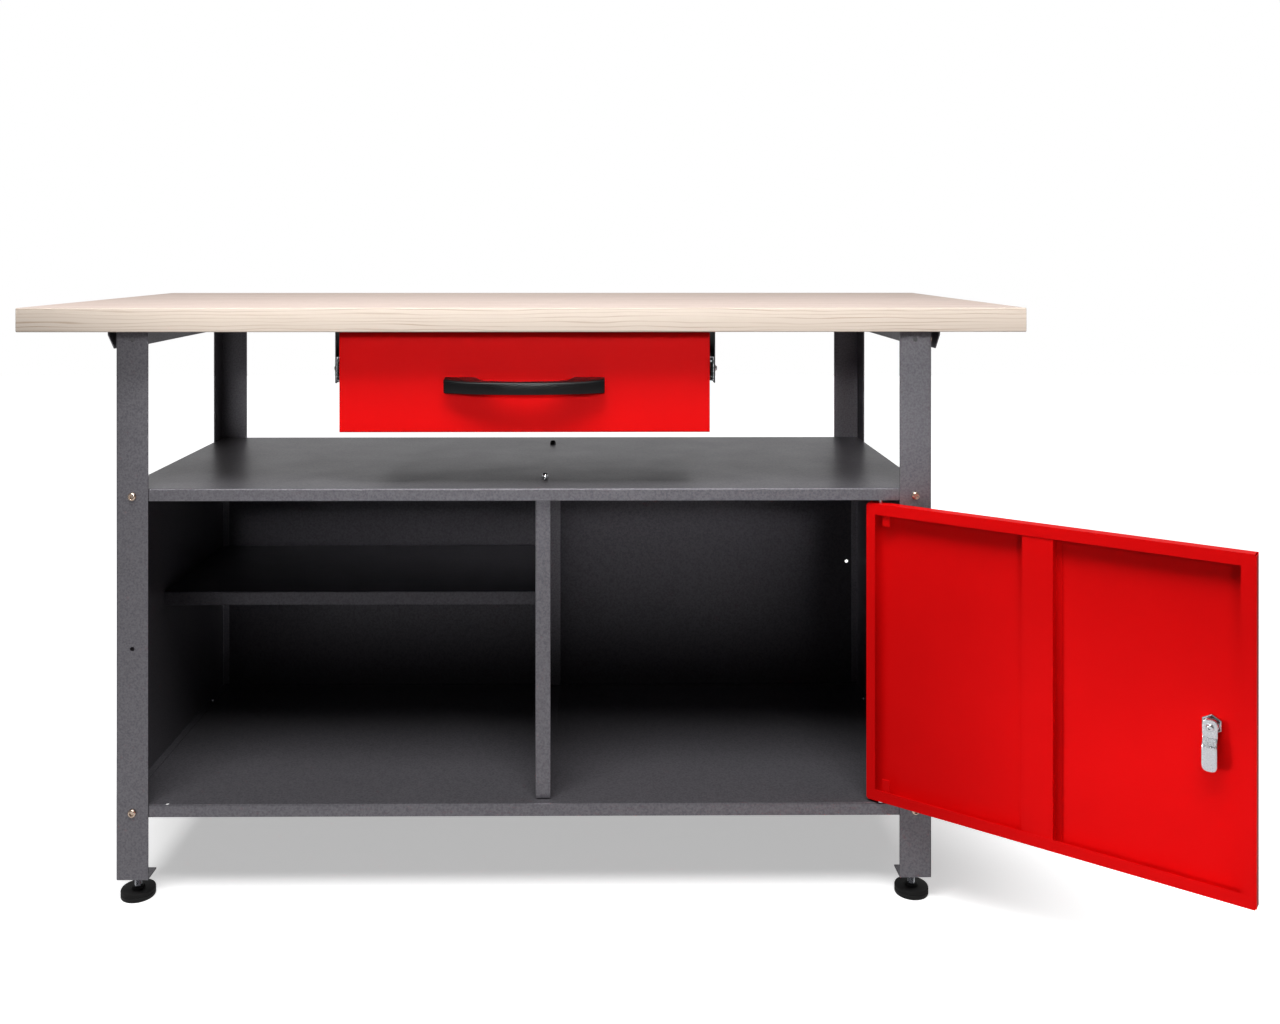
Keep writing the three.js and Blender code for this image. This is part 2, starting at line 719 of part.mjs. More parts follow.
// A profile of radius and height turned about Z.
function turned(profile, sides) {
  const points = profile.map((point) => new THREE.Vector2(...point));
  const geometry = new THREE.LatheGeometry(points, sides);
  geometry.rotateX(Math.PI / 2);
  return toSolid(geometry);
}

// Cam lock. Its pieces are turned about Z, with Z = 0 on the door's outer face and +Z into the cabinet.
function makeLock() {
  const tipFront = dividerSetback + panSheet + camBehindFlange - pinSetback - doorFront;
  const camFront = tipFront - camJoggle;
  const plugEnd = camFront - running;
  const barrelEnd = plugEnd - running;
  const flangeFront = -running - lockFlangeThickness;
  const bore = plugRadius + running;
  const lock = new THREE.Group();
  lock.position.set(lockX, doorFront, lockHeight);
  lock.rotation.x = -Math.PI / 2;
  door.add(lock);

  const body = turned([
    [bore, flangeFront], [lockFlangeRadius - 1, flangeFront], [lockFlangeRadius, flangeFront + 1],
    [lockFlangeRadius, -running], [lockBarrelRadius, -running], [lockBarrelRadius, barrelEnd],
    [bore, barrelEnd], [bore, flangeFront],
  ], 24);
  addPiece(lock, 'lock_body', body, materials.zinc);

  const nutLow = panSheet + running;
  let nut = prism(hexagon(lockNutFlats), 'z', nutLow, nutLow + lockNutThickness);
  nut = nut.subtract(rod(lockBarrelRadius + running, 'z', 0, nutLow + 2 * lockNutThickness, [0, 0], 24));
  addPiece(lock, 'lock_nut', nut, materials.zinc);

  const plugFront = flangeFront + running;
  let plug = rod(plugRadius, 'z', plugFront, plugEnd, [0, 0], 20);
  plug = plug.subtract(block(
    [-keySlotWidth / 2, -keySlotLength / 2, plugFront - 1],
    [keySlotWidth / 2, keySlotLength / 2, plugFront + keySlotDepth],
  ));
  const screwBore = camScrewRadius + running;
  plug = plug.subtract(rod(screwBore, 'z', plugEnd - camScrewDepth - running, plugEnd + 1, [0, 0]));
  addPiece(lock, 'lock_plug', plug, materials.zinc);

  const camBack = camFront + camThickness;
  const joggleEnd = camJoggleStart + camJoggleLength;
  const side = polygon([
    [-camHeel - 1, camFront], [camJoggleStart, camFront], [joggleEnd, camFront + camJoggle],
    [camReach + 1, camFront + camJoggle], [camReach + 1, camBack + camJoggle],
    [joggleEnd, camBack + camJoggle], [camJoggleStart, camBack], [-camHeel - 1, camBack],
  ]);
  const outline = new THREE.Shape();
  const camHalf = camWidth / 2;
  const tipArc = camHalf * 0.75;
  outline.moveTo(-camHalf, camHalf - camHeel);
  outline.absarc(0, camHalf - camHeel, camHalf, Math.PI, 2 * Math.PI, false);
  outline.lineTo(camHalf, camReach - tipArc);
  outline.quadraticCurveTo(camHalf, camReach, 0, camReach);
  outline.quadraticCurveTo(-camHalf, camReach, -camHalf, camReach - tipArc);
  let cam = prism(side, 'x', -camHalf - 1, camHalf + 1);
  cam = cam.intersect(prism(outline, 'z', camFront - 1, camBack + camJoggle + 1));
  cam = cam.subtract(rod(screwBore, 'z', camFront - 1, camBack + 1, [0, 0]));
  addPiece(lock, 'lock_cam', cam, materials.zinc);

  const headLow = camBack + running;
  const screw = turned([
    [0, plugEnd - camScrewDepth], [camScrewRadius, plugEnd - camScrewDepth], [camScrewRadius, headLow],
    [camScrewHeadRadius, headLow], [camScrewHeadRadius * 0.75, headLow + camScrewHeadHeight],
    [0, headLow + camScrewHeadHeight],
  ], 16);
  addPiece(lock, 'lock_cam_screw', screw, materials.zinc);
}

// Levelling feet: a disc on a threaded stud, which turns in a plate with a weld nut in the bottom of the
// leg.
function makeFeet() {
  const plateTop = legClearOfFloor + footPlateSheet;
  const plateReach = legFlange - legSheet - seat;
  const plateStart = legSheet + seat;
  const stud = [footInset, footInset];
  let plate = block(
    [plateStart, plateStart, legClearOfFloor],
    [plateStart + plateReach, plateStart + footPlateDepth, plateTop],
  );
  plate = plate.add(prism(hexagon(footNutFlats, ...stud), 'z', plateTop, plateTop + footNutHeight));
  plate = plate.subtract(rod(studRadius + seat, 'z', 0, studTop, stud));
  const plateGeometry = toGeometry(plate);
  const rearPlate = mirrorY(plateGeometry);
  const studSolid = turned([
    [0, studSeat], [studRadius, studSeat], [studRadius, studTop - 1],
    [studRadius - 1, studTop], [0, studTop],
  ], 16);
  const socket = studRadius + seat;
  const discSolid = turned([
    [0, 0], [footDiscRadius - footDiscRim / 2, 0], [footDiscRadius, footDiscRim],
    [footDiscRadius, footDiscHeight - footDiscRim], [footDiscRadius - footDiscRim, footDiscHeight],
    [footHubRadius, footDiscHeight], [footHubRadius - 1, footDiscHeight + footHubHeight],
    [socket, footDiscHeight + footHubHeight], [socket, studSeat - seat], [0, studSeat - seat],
  ], 28);
  const corners = [
    ['front_left', plateGeometry, -1, 0, footInset],
    ['front_right', mirrorX(plateGeometry), 1, 0, footInset],
    ['rear_left', rearPlate, -1, frameDepth, frameDepth - footInset],
    ['rear_right', mirrorX(rearPlate), 1, frameDepth, frameDepth - footInset],
  ];
  for (const [name, geometry, side, plateY, footY] of corners) {
    const plateMesh = addPiece(bench, `foot_plate_${name}`, geometry, materials.hammertone);
    const studMesh = addPiece(bench, `foot_stud_${name}`, toGeometry(studSolid), materials.zinc);
    const discMesh = addPiece(bench, `foot_disc_${name}`, toGeometry(discSolid), materials.blackPlastic);
    plateMesh.position.set(side * frameHalf, plateY, 0);
    studMesh.position.set(side * footMiddle, footY, 0);
    discMesh.position.set(side * footMiddle, footY, 0);
  }
}

// Bolts with their nuts, turned about Z with the head's underside at Z = 0 and the shank along +Z.
function boltWithNut(grip) {
  return turned([
    [0, -boltHeadHeight], [boltHeadRadius * 0.6, -boltHeadHeight], [boltHeadRadius, -boltHeadHeight * 0.35],
    [boltHeadRadius, 0], [boltRadius, 0], [boltRadius, grip], [boltNutRadius, grip],
    [boltNutRadius, grip + boltNutHeight], [0, grip + boltNutHeight],
  ], 16);
}

function makeBolts() {
  const boltX = frameHalf - legHoleInset;
  const shelfBolt = toGeometry(boltWithNut(legSheet + panSheet + 3 * seat));
  const ends = [['front', -seat, -Math.PI / 2], ['rear', frameDepth + seat, Math.PI / 2]];
  for (const [end, y, turn] of ends) {
    for (const [side, sign] of [['left', -1], ['right', 1]]) {
      shelfBoltHeights.forEach((height, row) => {
        const level = row === 0 ? 'upper' : 'lower';
        const bolt = addPiece(bench, `shelf_bolt_${end}_${side}_${level}`, shelfBolt, materials.zinc);
        bolt.rotation.x = turn;
        bolt.position.set(sign * boltX, y, height);
      });
    }
  }
  const railBolt = toGeometry(boltWithNut(legSheet + railSheet + 3 * seat));
  const railInside = frameHalf - legSheet - railSheet - 2 * seat;
  for (const [side, sign] of [['left', -1], ['right', 1]]) {
    for (const [end, y] of [['front', legHoleInset], ['rear', frameDepth - legHoleInset]]) {
      const bolt = addPiece(bench, `rail_bolt_${end}_${side}`, railBolt, materials.zinc);
      bolt.rotation.y = (sign * Math.PI) / 2;
      bolt.position.set(sign * railInside, y, railBoltHeight);
    }
  }
}

makeWorktop();
makeLegs();
makeTopRails();
makeShelves();
makeInnerShelf();
makeUprights();
makeBackPanel();
makeDrawerBox();
makeHandle();
makeSlides();
makeHangers();
makeDoorPanel();
makeStiffener();
makeHinges();
makeLock();
makeFeet();
makeBolts();

// The origin is on the floor, at the middle of the whole box with the door open.
bench.updateMatrixWorld(true);
const box = new THREE.Box3().setFromObject(bench, true);
const middle = box.getCenter(new THREE.Vector3());
bench.position.set(-middle.x, -middle.y, 0);
bench.updateMatrixWorld(true);

export default bench;
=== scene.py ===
"""Workbench with a cabinet door: finishes, fine pieces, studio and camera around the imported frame."""

import json
import logging
import math
from dataclasses import dataclass
from enum import Enum
from typing import Any, Callable

import bmesh
import bpy
from bmesh.types import BMEdge, BMesh
from bpy.types import Material, Node, NodeTree, Object
from mathutils import Matrix, Vector

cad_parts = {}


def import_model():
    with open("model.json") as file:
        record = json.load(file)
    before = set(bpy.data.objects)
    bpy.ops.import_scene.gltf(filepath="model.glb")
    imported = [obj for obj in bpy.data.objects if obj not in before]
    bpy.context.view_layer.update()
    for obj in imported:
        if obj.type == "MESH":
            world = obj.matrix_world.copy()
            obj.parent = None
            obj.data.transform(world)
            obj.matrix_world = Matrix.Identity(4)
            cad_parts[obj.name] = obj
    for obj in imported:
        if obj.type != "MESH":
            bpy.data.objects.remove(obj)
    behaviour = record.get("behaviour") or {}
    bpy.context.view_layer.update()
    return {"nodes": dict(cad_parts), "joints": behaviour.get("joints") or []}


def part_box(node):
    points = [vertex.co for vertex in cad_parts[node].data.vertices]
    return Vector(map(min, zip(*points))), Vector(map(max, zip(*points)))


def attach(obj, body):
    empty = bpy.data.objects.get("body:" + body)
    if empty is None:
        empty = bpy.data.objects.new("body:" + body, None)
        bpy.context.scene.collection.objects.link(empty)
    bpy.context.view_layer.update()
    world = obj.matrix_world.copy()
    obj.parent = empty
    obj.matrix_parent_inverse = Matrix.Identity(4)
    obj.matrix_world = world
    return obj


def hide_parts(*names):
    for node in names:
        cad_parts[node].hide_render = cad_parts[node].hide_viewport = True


LOG = logging.getLogger("workbench")
MM = 0.001
COAT_IOR = 1.5
MERGE_MM = 0.002
LEVELS = ("upper", "lower")
UP = Vector((0, 0, 1))
Link = tuple[Node, str]
Pair = tuple[float, float]
Triple = tuple[float, float, float]
Profile = list[Pair]


class Corner(Enum):
    """The four corners of the bench, with the signs of their X and Y outward directions."""

    FRONT_LEFT = ("front_left", -1, -1)
    FRONT_RIGHT = ("front_right", 1, -1)
    REAR_LEFT = ("rear_left", -1, 1)
    REAR_RIGHT = ("rear_right", 1, 1)

    @property
    def label(self) -> str:
        """The corner's name as it stands in node names."""
        return self.value[0]


class Side(Enum):
    """Left and right, with the sign of X."""

    LEFT = ("left", -1)
    RIGHT = ("right", 1)

    @property
    def label(self) -> str:
        """The side's name as it stands in node names."""
        return self.value[0]

    @property
    def sign(self) -> int:
        """The sign of X on this side."""
        return self.value[1]


def linear(hex_colour: str) -> tuple[float, ...]:
    """Turns an sRGB hex colour into linear light.

    Args:
        hex_colour: Six hex digits after a hash sign.

    Returns:
        Red, green, blue and an alpha of 1.
    """
    channels = [int(hex_colour[start:start + 2], 16) / 255 for start in (1, 3, 5)]
    light = [c / 12.92 if c <= 0.04045 else ((c + 0.055) / 1.055) ** 2.4 for c in channels]
    return (light[0], light[1], light[2], 1.0)


def add_node(tree: NodeTree, kind: str, inputs: dict[str | int, Any] | None = None,
             **settings: Any) -> Node:
    """Adds a shader node with its settings and links.

    Args:
        tree: The node tree that gets the node.
        kind: The node's type name.
        inputs: Socket names or numbers, each with a value or with a (node, output) pair to link from.
        settings: Attributes of the node.

    Returns:
        The new node.
    """
    node = tree.nodes.new(kind)
    for name, value in settings.items():
        setattr(node, name, value)
    for socket, value in (inputs or {}).items():
        if isinstance(value, tuple) and value and isinstance(value[0], Node):
            tree.links.new(value[0].outputs[value[1]], node.inputs[socket])
        else:
            node.inputs[socket].default_value = value
    return node


def combine(tree: NodeTree, operation: str, first: Link, second: Link | float) -> Link:
    """Joins two values by an operation of the math node."""
    return add_node(tree, "ShaderNodeMath", {0: first, 1: second}, operation=operation), "Value"


def remap(tree: NodeTree, value: Link, source: Pair, target: Pair, curve: str = "LINEAR") -> Link:
    """Maps one range of values to another, along a curve, and holds it at the ends."""
    return add_node(tree, "ShaderNodeMapRange", {
        "Value": value, "From Min": source[0], "From Max": source[1], "To Min": target[0],
        "To Max": target[1]}, interpolation_type=curve), "Result"


def per_metre(feature_mm: float) -> float:
    """Pattern scale for a texture whose features are that many millimetres wide."""
    return 1.0 / (feature_mm * MM)


class MaterialGraph:
    """A material and its node tree, with the steps that the finishes share.

    Patterns lie on Object coordinates. Each step gives the output that a later one links from.
    """

    def __init__(self, name: str) -> None:
        """Starts an empty material of that name."""
        self.material = bpy.data.materials.new(name)
        self.material.use_nodes = True
        self.tree = self.material.node_tree
        self.tree.nodes.clear()
        self.place: Link = (add_node(self.tree, "ShaderNodeTexCoord"), "Object")

    def stretched(self, scale: Triple) -> Link:
        """Object coordinates scaled along each axis, so that a pattern is drawn out."""
        return add_node(self.tree, "ShaderNodeMapping", {"Vector": self.place, "Scale": scale}), "Vector"

    def noise(self, feature_mm: float, detail: float, where: Link | None = None, roughness: float = 0.5,
              distortion: float = 0.0) -> Link:
        """A noise pattern from 0 to 1, on the object's own coordinates unless others are given."""
        return add_node(self.tree, "ShaderNodeTexNoise", {
            "Vector": where or self.place, "Scale": per_metre(feature_mm), "Detail": detail,
            "Roughness": roughness, "Distortion": distortion}), "Fac"

    def span(self, value: Link, source: Pair = (0.0, 1.0), target: Pair = (0.0, 1.0)) -> Link:
        """Maps one range of a pattern's values to another."""
        return remap(self.tree, value, source, target)

    def gloss(self, pattern: Link, roughness: float, swing: Pair) -> Link:
        """A roughness that swings down and up with a pattern."""
        return self.span(pattern, target=(roughness - swing[0], roughness + swing[1]))

    def blend(self, factor: Link, first: Link | str, second: str) -> Link:
        """Mixes a colour, or what is drawn so far, with a second colour."""
        start = linear(first) if isinstance(first, str) else first
        return add_node(self.tree, "ShaderNodeMix", {"Factor": factor, "A": start, "B": linear(second)},
                        data_type="RGBA"), "Result"

    def relief(self, height: Link, depth_mm: float, strength: float) -> Link:
        """A normal that follows the height of a pattern."""
        return add_node(self.tree, "ShaderNodeBump", {
            "Height": height, "Distance": depth_mm * MM, "Strength": strength}), "Normal"

    def finished(self, sockets: dict[str, Any]) -> Material:
        """Ends the tree with a principled shader.

        Args:
            sockets: The shader's sockets, each with a value or a link.

        Returns:
            The material.
        """
        shader = add_node(self.tree, "ShaderNodeBsdfPrincipled", sockets)
        add_node(self.tree, "ShaderNodeOutputMaterial", {"Surface": (shader, "BSDF")})
        return self.material


@dataclass(frozen=True)
class HammeredEnamel:
    """Hammer-finish stove enamel: metal flake in grey paint, pulled into small flat dimples as it dries.

    The flake softly mirrors what stands in front. The real dimples are about 1.5 mm wide, too fine for the
    render, so they are drawn wider.
    """

    name: str = "hammered_grey_enamel"
    colour: str = "#7a787d"
    pit_colour: str = "#66646a"
    dimple_mm: float = 2.8
    dimple_depth_mm: float = 0.2
    dimple_range: Pair = (0.32, 0.62)
    dimple_strength: float = 0.7
    cloud_mm: float = 60.0
    roughness: float = 0.35
    gloss_swing: Pair = (0.04, 0.06)
    flake: float = 0.6
    specular: float = 0.3

    def build(self) -> Material:
        """Builds the material."""
        graph = MaterialGraph(self.name)
        dimples = graph.noise(self.dimple_mm, detail=2.0, roughness=0.6)
        clouds = graph.noise(self.cloud_mm, detail=3.0)
        return graph.finished({
            "Base Color": graph.blend(graph.span(dimples, self.dimple_range), self.pit_colour, self.colour),
            "Roughness": graph.gloss(clouds, self.roughness, self.gloss_swing),
            "Normal": graph.relief(dimples, self.dimple_depth_mm, self.dimple_strength),
            "IOR": COAT_IOR, "Specular IOR Level": self.specular, "Metallic": self.flake})


@dataclass(frozen=True)
class SatinSkin:
    """A satin skin of paint or plastic: two close shades in clouds that sway its gloss, and a fine grain.

    The values given here are those of a powder coat with faint orange peel.
    """

    name: str
    colour: str
    shade_colour: str
    grain_mm: float = 3.0
    grain_detail: float = 2.0
    grain_depth_mm: float = 0.05
    grain_strength: float = 0.5
    cloud_mm: float = 90.0
    cloud_detail: float = 4.0
    roughness: float = 0.42
    gloss_swing: Pair = (0.05, 0.08)
    specular: float = 0.3

    def build(self) -> Material:
        """Builds the material."""
        graph = MaterialGraph(self.name)
        clouds = graph.noise(self.cloud_mm, self.cloud_detail)
        grain = graph.noise(self.grain_mm, self.grain_detail)
        return graph.finished({
            "Base Color": graph.blend(clouds, self.shade_colour, self.colour),
            "Roughness": graph.gloss(clouds, self.roughness, self.gloss_swing),
            "Normal": graph.relief(grain, self.grain_depth_mm, self.grain_strength),
            "IOR": COAT_IOR, "Specular IOR Level": self.specular})


@dataclass(frozen=True)
class MouldedPlastic(SatinSkin):
    """Injection-moulded nylon or rubber, with the fine spark grain of its mould."""

    grain_mm: float = 0.9
    grain_detail: float = 1.0
    grain_depth_mm: float = 0.04
    cloud_mm: float = 25.0
    cloud_detail: float = 3.0
    roughness: float = 0.4
    gloss_swing: Pair = (0.06, 0.08)
    specular: float = 0.4


@dataclass(frozen=True)
class BeechLaminate:
    """Melamine laminate printed as pale beech: soft rosy bands and fine fibres along the board."""

    name: str = "beech_print_laminate"
    colour: str = "#d3c2b9"
    band_colour: str = "#c6b3a9"
    fibre_colour: str = "#b49f94"
    band_mm: float = 16.0
    band_range: Pair = (0.42, 0.66)
    fibre_mm: float = 1.6
    fibre_range: Pair = (0.56, 0.72)
    fibre_share: float = 0.35
    fibre_depth_mm: float = 0.04
    fibre_strength: float = 0.4
    stretch: float = 0.035
    roughness: float = 0.55
    specular: float = 0.12

    def build(self) -> Material:
        """Builds the material."""
        graph = MaterialGraph(self.name)
        along = graph.stretched((self.stretch, 1.0, 1.0))
        bands = graph.noise(self.band_mm, detail=5.0, where=along, roughness=0.65, distortion=0.6)
        fibres = graph.noise(self.fibre_mm, detail=2.0, where=along)
        banded = graph.blend(graph.span(bands, self.band_range), self.colour, self.band_colour)
        fibre_mask = graph.span(fibres, self.fibre_range, (0.0, self.fibre_share))
        return graph.finished({
            "Base Color": graph.blend(fibre_mask, banded, self.fibre_colour), "Roughness": self.roughness,
            "Normal": graph.relief(fibres, self.fibre_depth_mm, self.fibre_strength),
            "IOR": COAT_IOR, "Specular IOR Level": self.specular})


@dataclass(frozen=True)
class BeechEdgeBand:
    """Plastic edge band printed as beech: pale cream with fine wavy brown growth lines along the edge.

    The real lines are under 1 mm thick, so they are drawn about twice as thick.
    """

    name: str = "beech_print_edge_band"
    colour: str = "#d5c8bc"
    line_colour: str = "#a68c75"
    shade_colour: str = "#d1c3b5"
    line_spacing_mm: float = 5.5
    line_share: float = 0.2
    waviness: float = 8.0
    fade_mm: float = 18.0
    fade_range: Pair = (0.34, 0.66)
    fade_strength: Pair = (0.1, 0.75)
    stretch: float = 0.11
    roughness: float = 0.5
    specular: float = 0.2

    def build(self) -> Material:
        """Builds the material."""
        graph = MaterialGraph(self.name)
        along = graph.stretched((self.stretch, self.stretch, 1.0))
        # A wave of scale 1 has a period of pi / 10 of a unit.
        lines = add_node(graph.tree, "ShaderNodeTexWave", {
            "Vector": along, "Scale": per_metre(self.line_spacing_mm) * math.pi / 10,
            "Distortion": self.waviness, "Detail": 2.0, "Detail Scale": 0.8, "Detail Roughness": 0.55},
            wave_type="BANDS", bands_direction="Z")
        fade = graph.noise(self.fade_mm, detail=3.0, where=along)
        line_mask = graph.span((lines, "Fac"), (0.0, self.line_share), (1.0, 0.0))
        fade_mask = graph.span(fade, self.fade_range, self.fade_strength)
        drawn = combine(graph.tree, "MULTIPLY", line_mask, fade_mask)
        ground = graph.blend(fade, self.shade_colour, self.colour)
        return graph.finished({
            "Base Color": graph.blend(drawn, ground, self.line_colour), "Roughness": self.roughness,
            "IOR": COAT_IOR, "Specular IOR Level": self.specular})


@dataclass(frozen=True)
class PlatedSteel:
    """Zinc or nickel plated metal: bright, with a soft drawn grain in its gloss."""

    name: str
    colour: str
    shade_colour: str
    grain_mm: float = 1.2
    grain_stretch: Triple = (1.0, 0.2, 1.0)
    roughness: float = 0.24
    gloss_swing: Pair = (0.06, 0.1)

    def build(self) -> Material:
        """Builds the material."""
        graph = MaterialGraph(self.name)
        grain = graph.noise(self.grain_mm, detail=3.0, where=graph.stretched(self.grain_stretch))
        return graph.finished({
            "Base Color": graph.blend(grain, self.shade_colour, self.colour),
            "Roughness": graph.gloss(grain, self.roughness, self.gloss_swing), "Metallic": 1.0})


class Finishes:
    """The bench's finishes, each built once."""

    def __init__(self) -> None:
        """Builds every finish."""
        self.board_top = BeechLaminate().build()
        self.board_edge = BeechEdgeBand().build()
        self.grey = HammeredEnamel().build()
        # The sheets inside the cabinet get a darker, duller copy of the same paint, as painted shade for the
        # shadowed inside of the cabinet.
        self.grey_with_painted_shade = HammeredEnamel("hammered_grey_enamel_painted_shade", "#4c4a4f", "#3f3d42", flake=0.4,
                                         specular=0.2).build()
        self.red = SatinSkin("red_powder_coat", "#e30a0c", "#d8080a", specular=0.05).build()
        self.black_steel = SatinSkin("black_powder_coat", "#1d1d1f", "#151517", roughness=0.45).build()
        self.nylon = MouldedPlastic("black_nylon", "#121213", "#0a0a0b", roughness=0.3,
                                    specular=0.22).build()
        self.rubber = MouldedPlastic("black_rubber", "#131212", "#0b0b0b", roughness=0.6,
                                     specular=0.25).build()
        self.zinc = PlatedSteel("zinc_plated_steel", "#cfd1d5", "#b0b3b9").build()
        self.bolt_zinc = PlatedSteel("yellow_passivated_zinc", "#e4d2c0", "#a08878", roughness=0.22).build()
        self.cam_zinc = PlatedSteel("stamped_zinc_plate", "#d4d6da", "#bfc2c7", roughness=0.26).build()
        self.nickel = PlatedSteel("nickel_plated_brass", "#e2e4e7", "#c9ccd1", roughness=0.16).build()


def finish_piece(name: str, mesh_builder: BMesh, material: Material, body: str,
                 smooth_degrees: float = 35.0, replaced: str | None = None) -> Object:
    """Turns a bmesh into a piece that rides on a body.

    Args:
        name: The piece's name.
        mesh_builder: The finished bmesh, which is freed.
        material: The piece's material.
        body: The body that it rides on.
        smooth_degrees: Edges that turn by less than this are shaded smooth.
        replaced: The CAD node that it stands for, if any.

    Returns:
        The new object.
    """
    bmesh.ops.remove_doubles(mesh_builder, verts=mesh_builder.verts, dist=MERGE_MM * MM)
    bmesh.ops.recalc_face_normals(mesh_builder, faces=mesh_builder.faces)
    mesh = bpy.data.meshes.new(name)
    mesh_builder.to_mesh(mesh)
    mesh_builder.free()
    mesh.polygons.foreach_set("use_smooth", [True] * len(mesh.polygons))
    mesh.set_sharp_from_angle(angle=math.radians(smooth_degrees))
    mesh.materials.append(material)
    piece = bpy.data.objects.new(name, mesh)
    bpy.context.scene.collection.objects.link(piece)
    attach(piece, body)
    if replaced:
        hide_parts(replaced)
    LOG.info("piece %s: %d faces", name, len(mesh.polygons))
    return piece


def placed(origin: Vector, axis: Vector) -> Matrix:
    """The matrix that puts a piece turned about Z at an origin, with its Z along an axis."""
    return Matrix.Translation(origin) @ axis.normalized().to_track_quat("Z", "Y").to_matrix().to_4x4()


def turned(profile_mm: Profile, steps: int) -> BMesh:
    """Spins a profile about Z.

    Args:
        profile_mm: Radius and height of each point, in millimetres.
        steps: How many steps make the full turn.

    Returns:
        The spun bmesh, in metres.
    """
    lathe = bmesh.new()
    points = [lathe.verts.new((radius * MM, 0.0, height * MM)) for radius, height in profile_mm]
    edges = [lathe.edges.new(pair) for pair in zip(points, points[1:])]
    bmesh.ops.spin(lathe, geom=points + edges, cent=(0, 0, 0), axis=(0, 0, 1), angle=2 * math.pi,
                   steps=steps, use_merge=True, use_duplicate=False)
    return lathe


def block(low: Vector, high: Vector) -> BMesh:
    """Makes a box.

    Args:
        low: Its lowest corner.
        high: Its highest corner.

    Returns:
        The bmesh, in metres.
    """
    box = bmesh.new()
    bmesh.ops.create_cube(box, size=1.0)
    bmesh.ops.scale(box, vec=high - low, verts=box.verts)
    bmesh.ops.translate(box, vec=(low + high) / 2, verts=box.verts)
    return box


def sharp_edges(mesh: BMesh, degrees: float) -> list[BMEdge]:
    """The edges whose faces turn by more than an angle."""
    return [edge for edge in mesh.edges if edge.calc_face_angle(0.0) > math.radians(degrees)]


def round_edges(mesh: BMesh, edges: list[BMEdge], width_mm: float, segments: int) -> None:
    """Rounds edges of a bmesh by a bevel of that width, in that many steps."""
    bmesh.ops.bevel(mesh, geom=edges, offset=width_mm * MM, offset_type="OFFSET", segments=segments,
                    profile=0.5, affect="EDGES", material=-1, clamp_overlap=True)


def ease_sheet(node: Object, width_mm: float, join_mm: float = 0.005, flat_degrees: float = 0.5,
               sharp_degrees: float = 40.0) -> None:
    """Rounds the cut edges of a node by modifiers, so that they catch the light.

    Args:
        node: The CAD node.
        width_mm: The width of the rounding.
        join_mm: Corners nearer than this are joined first.
        flat_degrees: Faces that turn by less than this are one flat face.
        sharp_degrees: Edges that turn by more than this are rounded.
    """
    weld = node.modifiers.new("join_faces", "WELD")
    weld.merge_threshold = join_mm * MM
    flat = node.modifiers.new("flat_faces", "DECIMATE")
    flat.decimate_type = "DISSOLVE"
    flat.angle_limit = math.radians(flat_degrees)
    bevel = node.modifiers.new("eased_edges", "BEVEL")
    bevel.width = width_mm * MM
    bevel.segments = 2
    bevel.limit_method = "ANGLE"
    bevel.angle_limit = math.radians(sharp_degrees)
    bevel.use_clamp_overlap = True


@dataclass
class Assembly:
    """A sub-assembly: the frame's CAD nodes and the finishes that they are dressed in."""

    nodes: dict[str, Object]
    finishes: Finishes

    def dress(self, name: str, material: Material, ease_mm: float = 0.0) -> None:
        """Gives a CAD node its finish.

        Args:
            name: The node's name.
            material: Its finish.
            ease_mm: How far its edges are rounded, or 0 for none.
        """
        node = self.nodes[name]
        node.data.materials.clear()
        node.data.materials.append(material)
        if ease_mm > 0:
            ease_sheet(node, ease_mm)
        LOG.info("node %s: %s", name, material.name)


@dataclass(frozen=True)
class Fastener:
    """A button-head screw or bolt with a six-sided socket."""

    head_radius: float = 6.0
    head_height: float = 3.5
    shank_radius: float = 3.0
    shank_length: float = 2.0
    socket_radius: float = 3.2
    socket_depth: float = 2.2
    lead_width: float = 0.3
    lead_depth: float = 0.2
    rim_height: float = 0.5
    crown_steps: int = 4
    steps: int = 24

    def head(self) -> BMesh:
        """Spins the head and shank about Z, with the head's underside at Z = 0 and its crown at +Z.

        Returns:
            The bmesh, in metres.
        """
        crown = self.head_height
        floor = crown - self.socket_depth
        rim = self.socket_radius + self.lead_width
        profile = [(0.0, floor), (self.socket_radius, floor), (self.socket_radius, crown - self.lead_depth),
                   (rim, crown)]
        for step in range(1, self.crown_steps + 1):
            turn = step / self.crown_steps * math.pi / 2
            radius = rim + (self.head_radius - rim) * math.sin(turn)
            profile.append((radius, self.rim_height + (crown - self.rim_height) * math.cos(turn)))
        profile += [(self.head_radius, 0.0), (self.shank_radius, 0.0)]
        profile += [(self.shank_radius, -self.shank_length), (0.0, -self.shank_length)]
        lathe = turned(profile, self.steps)
        socket_reach = (self.socket_radius + self.lead_width / 2) * MM
        socket_floor = floor * MM - MERGE_MM * MM
        for vert in lathe.verts:
            radius = math.hypot(vert.co.x, vert.co.y)
            if 0 < radius <= socket_reach and vert.co.z > socket_floor:
                angle = math.atan2(vert.co.y, vert.co.x) % (math.pi / 3) - math.pi / 6
                scale = math.cos(math.pi / 6) / math.cos(angle)
                vert.co.x *= scale
                vert.co.y *= scale
        return lathe

    def place(self, name: str, origin: Vector, axis: Vector, material: Material, body: str,
              replaced: str | None = None) -> None:
        """Makes one fastener.

        Args:
            name: The piece's name.
            origin: The middle of the head's underside.
            axis: The direction that the head faces.
            material: Its finish.
            body: The body that it rides on.
            replaced: The CAD node that it stands for, if any.
        """
        head = self.head()
        bmesh.ops.transform(head, matrix=placed(origin, axis), verts=head.verts)
        finish_piece(name, head, material, body, replaced=replaced)


